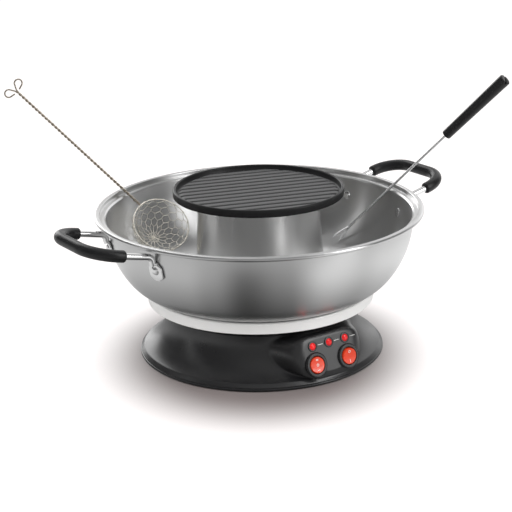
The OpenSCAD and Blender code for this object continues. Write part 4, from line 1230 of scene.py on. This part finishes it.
tine = [(tine_edge, neck_z), (2.0 * tine_edge, 0.85 * neck_z), (tine_half, 0.5 * neck_z),
        (tine_half + tine_edge, 2 * shoulder_z), (tine_half + tine_edge, shoulder_z),
        (tine_half + 0.4 * tine_edge, mm), (tine_half, 0),
        (tine_half - 0.4 * tine_edge, mm), (tine_half - tine_edge, shoulder_z)]
blade = tine + arc((0, crotch_z), slot_r, 0, 180, steps=10) + [(-x, z) for x, z in tine[::-1]]
blade_rings = [[(x, y, z) for x, z in inset(blade, margin)]
               for y, margin in ((-blade_half_t, blade_bevel), (-0.5 * blade_half_t, 0),
                                 (0.5 * blade_half_t, 0), (blade_half_t, blade_bevel))]
blade_shape = bmesh.new()
skin(blade_shape, blade_rings)
blade_shape.transform(fork_frame)
# Painted light: the blade's steel is nearly white and barely metallic, so it reads lit in the pan.
blade_painted_light = moulded(
    "blade_painted_light", (0.97, 0.97, 0.97), roughness=0.24, spread=0.06, grains=900.0, bump=0.03, Metallic=0.1)
fork_blade = piece_from("fork_blade", blade_shape, blade_painted_light)
dress(fork_blade, "fork", "chrome")
rod_end = fork_length - fork_plug
rod_outline = [(0, taper_z), (0.5 * fork_rod_r, taper_z), (fork_rod_r, neck_z - mm),
               (fork_rod_r, rod_end), (0, rod_end)]
fork_steel = moulded(
    "fork_steel", (0.66, 0.66, 0.66), roughness=0.20, spread=0.06, grains=900.0, bump=0.03, Metallic=0.8)
fork_wire = turned("fork_wire", rod_outline, steps=24, material=fork_steel, at=fork_frame)
dress(fork_wire, "fork", "chrome", "fork_rod")

handle_start = fork_length - fork_handle_length
fork_grip_r = 4.6 * mm
fork_end_r = 5.5 * mm
notch = 1.6 * mm
handle_outline = rounded([
    (0, handle_start, 0), (fork_grip_r, handle_start, 0.6 * mm),
    (fork_end_r, fork_length - 2.4 * mm, 6 * mm), (fork_end_r, fork_length, 1.2 * mm),
    (0, fork_length, 0)], steps=6)
fork_grip = turned("fork_grip", handle_outline, steps=40, material=grip_plastic)
notch_shape = bmesh.new()
notch_size = Matrix.Diagonal((notch, 4 * fork_end_r, 2 * notch, 1))
bmesh.ops.create_cube(notch_shape, size=1, matrix=Matrix.Translation((0, 0, fork_length)) @ notch_size)
carved(fork_grip, notch_shape)
fork_grip.data.transform(fork_frame)
dress(fork_grip, "fork", "black_plastic", "fork_handle")


# Strainer: a hemisphere of hexagonal wire netting on a rim wire, with a twisted two-wire handle.
# Tinned brass wire, bent and wound by hand; the two ends of the handle curl into open hooks; the netting,
# rim and tie take a paler, half-metallic copy of the wire as painted light.
basket_r = 27.5 * mm
net_wire_r = 0.30 * mm
rim_wire_r = 0.5 * mm
strand_r = 0.75 * mm
strainer_reach = 190 * mm
twist_pitch = 8.6 * mm
knot_r = 1.5 * mm
hook_turn = math.radians(-33)
bend_lead_r = 4 * mm
bend_lead = math.radians(28)
hook_run = 4.8 * mm
eye_r = 3.75 * mm
eye_sweep = math.radians(228)
hook_tail = 4.8 * mm
strainer_dir = heading(azimuth=123.5, slope=39)
strainer_c = Vector((-49.3, 92.4, 105.2)) * mm
strainer_frame = placed(strainer_c, strainer_dir, rolled(strainer_dir, roll=29)[1])
twisted_wire = moulded(
    "twisted_wire", (0.52, 0.46, 0.385), roughness=0.30, spread=0.5, grains=900.0, bump=0.1, Metallic=1.0)
# Painted light: the netting, rim and tie wire is paler and half-metallic, so it reads lit inside the pan.
brass_wire = moulded(
    "brass_wire", (0.79, 0.755, 0.67), roughness=0.24, spread=0.45, grains=900.0, bump=0.1, Metallic=0.5)


# The netting as points and edges: zigzag rings with a fixed count of cells, linked to the next ring
net_cells = 16
net_rows = 6
net_gap = 0.1 * mm
net_r = basket_r - net_wire_r - net_gap
row_step = math.pi / 2 / (net_rows + 0.5)
zigzag = 0.25
first_ring = 0.62
net_spots = []
net_edges = []


def net_spot(column, drop):
    a = math.pi * column / net_cells
    level_r = net_r * math.cos(drop)
    return level_r * math.cos(a), level_r * math.sin(a), -net_r * math.sin(drop)


for ring in range(net_rows):
    start = ring * 2 * net_cells
    for column in range(2 * net_cells):
        low = (column + ring) % 2 == 0
        net_spots.append(net_spot(column, row_step * (ring + first_ring + (zigzag if low else -zigzag))))
        net_edges.append((start + column, start + (column + 1) % (2 * net_cells)))
        if low and ring + 1 < net_rows:
            net_edges.append((start + column, start + column + 2 * net_cells))
pole = len(net_spots)
net_spots.append(net_spot(0, math.pi / 2))
for column in range(2 * net_cells):
    if column % 2 == 0:
        net_edges.append((pole - 2 * net_cells + column + (net_rows - 1) % 2, pole))
    else:
        net_edges.append((column, len(net_spots)))
        net_spots.append(net_spot(column, 0.0))
net_mesh = bpy.data.meshes.new("net_lines")
net_mesh.from_pydata(net_spots, net_edges, [])

net_tree, net_in, net_out = make_tree("wire_netting", {
    "Wire": "Float", "Unevenness": "Float", "Seed": "Int", "Material": "Material"})
net_spread = place(net_tree, "ShaderNodeSeparateXYZ", {0: place(net_tree, "GeometryNodeInputPosition")})
net_low = place(net_tree, "FunctionNodeCompare", {
    0: net_spread.outputs["Z"], 1: -mm}, data_type="FLOAT", operation="LESS_THAN")
net_random = place(net_tree, "FunctionNodeRandomValue", {
    "Min": (-1, -1, -1), "Max": (1, 1, 1), "Seed": net_in["Seed"]}, data_type="FLOAT_VECTOR")
net_shake = place(net_tree, "ShaderNodeVectorMath", {
    0: net_random, "Scale": net_in["Unevenness"]}, operation="SCALE")
net_loose = place(net_tree, "GeometryNodeSetPosition", {
    "Geometry": net_in["Mesh"], "Offset": net_shake, "Selection": net_low})
net_lines = place(net_tree, "GeometryNodeMeshToCurve", {"Mesh": net_loose})
net_circle = place(net_tree, "GeometryNodeCurvePrimitiveCircle", {
    "Resolution": 8, "Radius": net_in["Wire"]})
net_wires = place(net_tree, "GeometryNodeCurveToMesh", {
    "Curve": net_lines, "Profile Curve": net_circle, "Fill Caps": True})
end_tree(net_tree, net_wires, net_in["Material"], net_out)
net = run_tree("wire_net", net_tree, net_mesh, {
    "Wire": net_wire_r, "Unevenness": 0.35 * mm, "Seed": 7, "Material": brass_wire})
net.data.transform(strainer_frame)
dress(net, "strainer", "brass_wire", "strainer_basket")

rim_inset = 0.45 * mm
rim_path_r = basket_r - rim_inset
steps_per_cell = 24
rim_steps = steps_per_cell * net_cells
rim_sides = numpy.linspace(0, 2 * math.pi, 12, endpoint=False)
rim_knot = 0.5
knot_sharpness = 6
rim_shape = bmesh.new()
rim_rings = []
for k in range(rim_steps):
    a = 2 * math.pi * k / rim_steps
    out = Vector((math.cos(a), math.sin(a), 0))
    wire = rim_wire_r * (1 + rim_knot * max(-math.cos(net_cells * a), 0) ** knot_sharpness)
    rim_rings.append([rim_path_r * out + wire * (out * math.cos(t) + Vector((0, 0, math.sin(t))))
                      for t in rim_sides])
skin(rim_shape, rim_rings, joined=True)
rim_shape.transform(strainer_frame)
dress(piece_from("rim_wire", rim_shape, brass_wire), "strainer", "brass_wire", "strainer_rim")

twist_tree, twist_in, twist_out = make_tree("twisted_wires", {
    "Length": "Float", "Turns": "Float", "Lay": "Float", "Strand": "Float", "Material": "Material"})
twist_spiral = place(twist_tree, "GeometryNodeCurveSpiral", {
    "Resolution": 20, "Rotations": twist_in["Turns"], "Start Radius": twist_in["Lay"],
    "End Radius": twist_in["Lay"], "Height": twist_in["Length"]})
twist_circle = place(twist_tree, "GeometryNodeCurvePrimitiveCircle", {
    "Resolution": 12, "Radius": twist_in["Strand"]})
twist_wire = place(twist_tree, "GeometryNodeCurveToMesh", {
    "Curve": twist_spiral, "Profile Curve": twist_circle, "Fill Caps": True})
twist_other = place(twist_tree, "GeometryNodeTransform", {
    "Geometry": twist_wire, "Rotation": (0, 0, math.pi)})
twist_pair = place(twist_tree, "GeometryNodeJoinGeometry")
twist_tree.links.new(twist_wire.outputs[0], twist_pair.inputs[0])
twist_tree.links.new(twist_other.outputs[0], twist_pair.inputs[0])
end_tree(twist_tree, twist_pair, twist_in["Material"], twist_out)
twist_start = rim_path_r + rim_wire_r
twist_length = strainer_reach - twist_start
twist = run_tree("twisted_handle", twist_tree, bpy.data.meshes.new("twist_seed"), {
    "Length": twist_length, "Turns": twist_length / twist_pitch, "Lay": 0.70 * mm, "Strand": 0.72 * mm,
    "Material": twisted_wire})
twist_frame = strainer_frame @ Matrix.Translation((twist_start, 0, 0))
twist.data.transform(twist_frame @ Matrix.Rotation(math.pi / 2, 4, "Y"))
dress(twist, "strainer", "brass_wire", "strainer_handle")


def bent_wire(moves, steps):
    """Points of a wire bent in a plane, by moves of a length and a curvature."""
    spot, way = Vector((0, 0, 0)), 0.0
    points = [spot]
    for length, bend in moves:
        for i in range(steps):
            way += 0.5 * bend * length / steps
            spot = spot + length / steps * Vector((math.cos(way), math.sin(way), 0))
            way += 0.5 * bend * length / steps
            points.append(spot)
    return points


curl_moves = ((bend_lead_r * bend_lead, 1 / bend_lead_r), (hook_run, 0.0),
              (eye_r * eye_sweep, 1 / eye_r), (hook_tail, 0.0))
curl = bent_wire(curl_moves, steps=24)
hook_shape = bmesh.new()
for flip in (0.0, math.pi):
    hook_frame = Matrix.Translation((strainer_reach, 0, 0)) @ Matrix.Rotation(hook_turn + flip, 4, "X")
    hook_frame = hook_frame @ Matrix.Translation((0, strand_r, 0))
    hook_normal = hook_frame.to_3x3() @ Vector((0, 0, 1))
    stations = [(hook_frame @ spot, hook_normal, strand_r, strand_r, round_section) for spot in curl]
    sweep(hook_shape, stations, sides=14)
hook_shape.transform(strainer_frame)
curls = piece_from("wire_curls", hook_shape, twisted_wire, crease=60)
dress(curls, "strainer", "brass_wire", "strainer_hooks")

knot_wire_r = 0.45 * mm
knot_turns = 3
knot_steps = 60
knot_least = 0.55
knot_path_r = knot_r - knot_wire_r
knot_shape = bmesh.new()
knot_stations = []
for t in numpy.linspace(0, 1, knot_steps):
    a = 2 * math.pi * knot_turns * t
    swell = knot_path_r * (knot_least + (1 - knot_least) * math.sin(math.pi * t))
    drop = basket_r + knot_wire_r + 2 * knot_path_r * t
    spot = Vector((swell * math.cos(a), swell * math.sin(a), -drop))
    knot_stations.append((spot, Vector((0, 0, 1)), knot_wire_r, knot_wire_r, round_section))
sweep(knot_shape, knot_stations, sides=10)
knot_shape.transform(strainer_frame)
knot = piece_from("wire_knot", knot_shape, brass_wire, crease=60)
dress(knot, "strainer", "brass_wire", "strainer_tie")
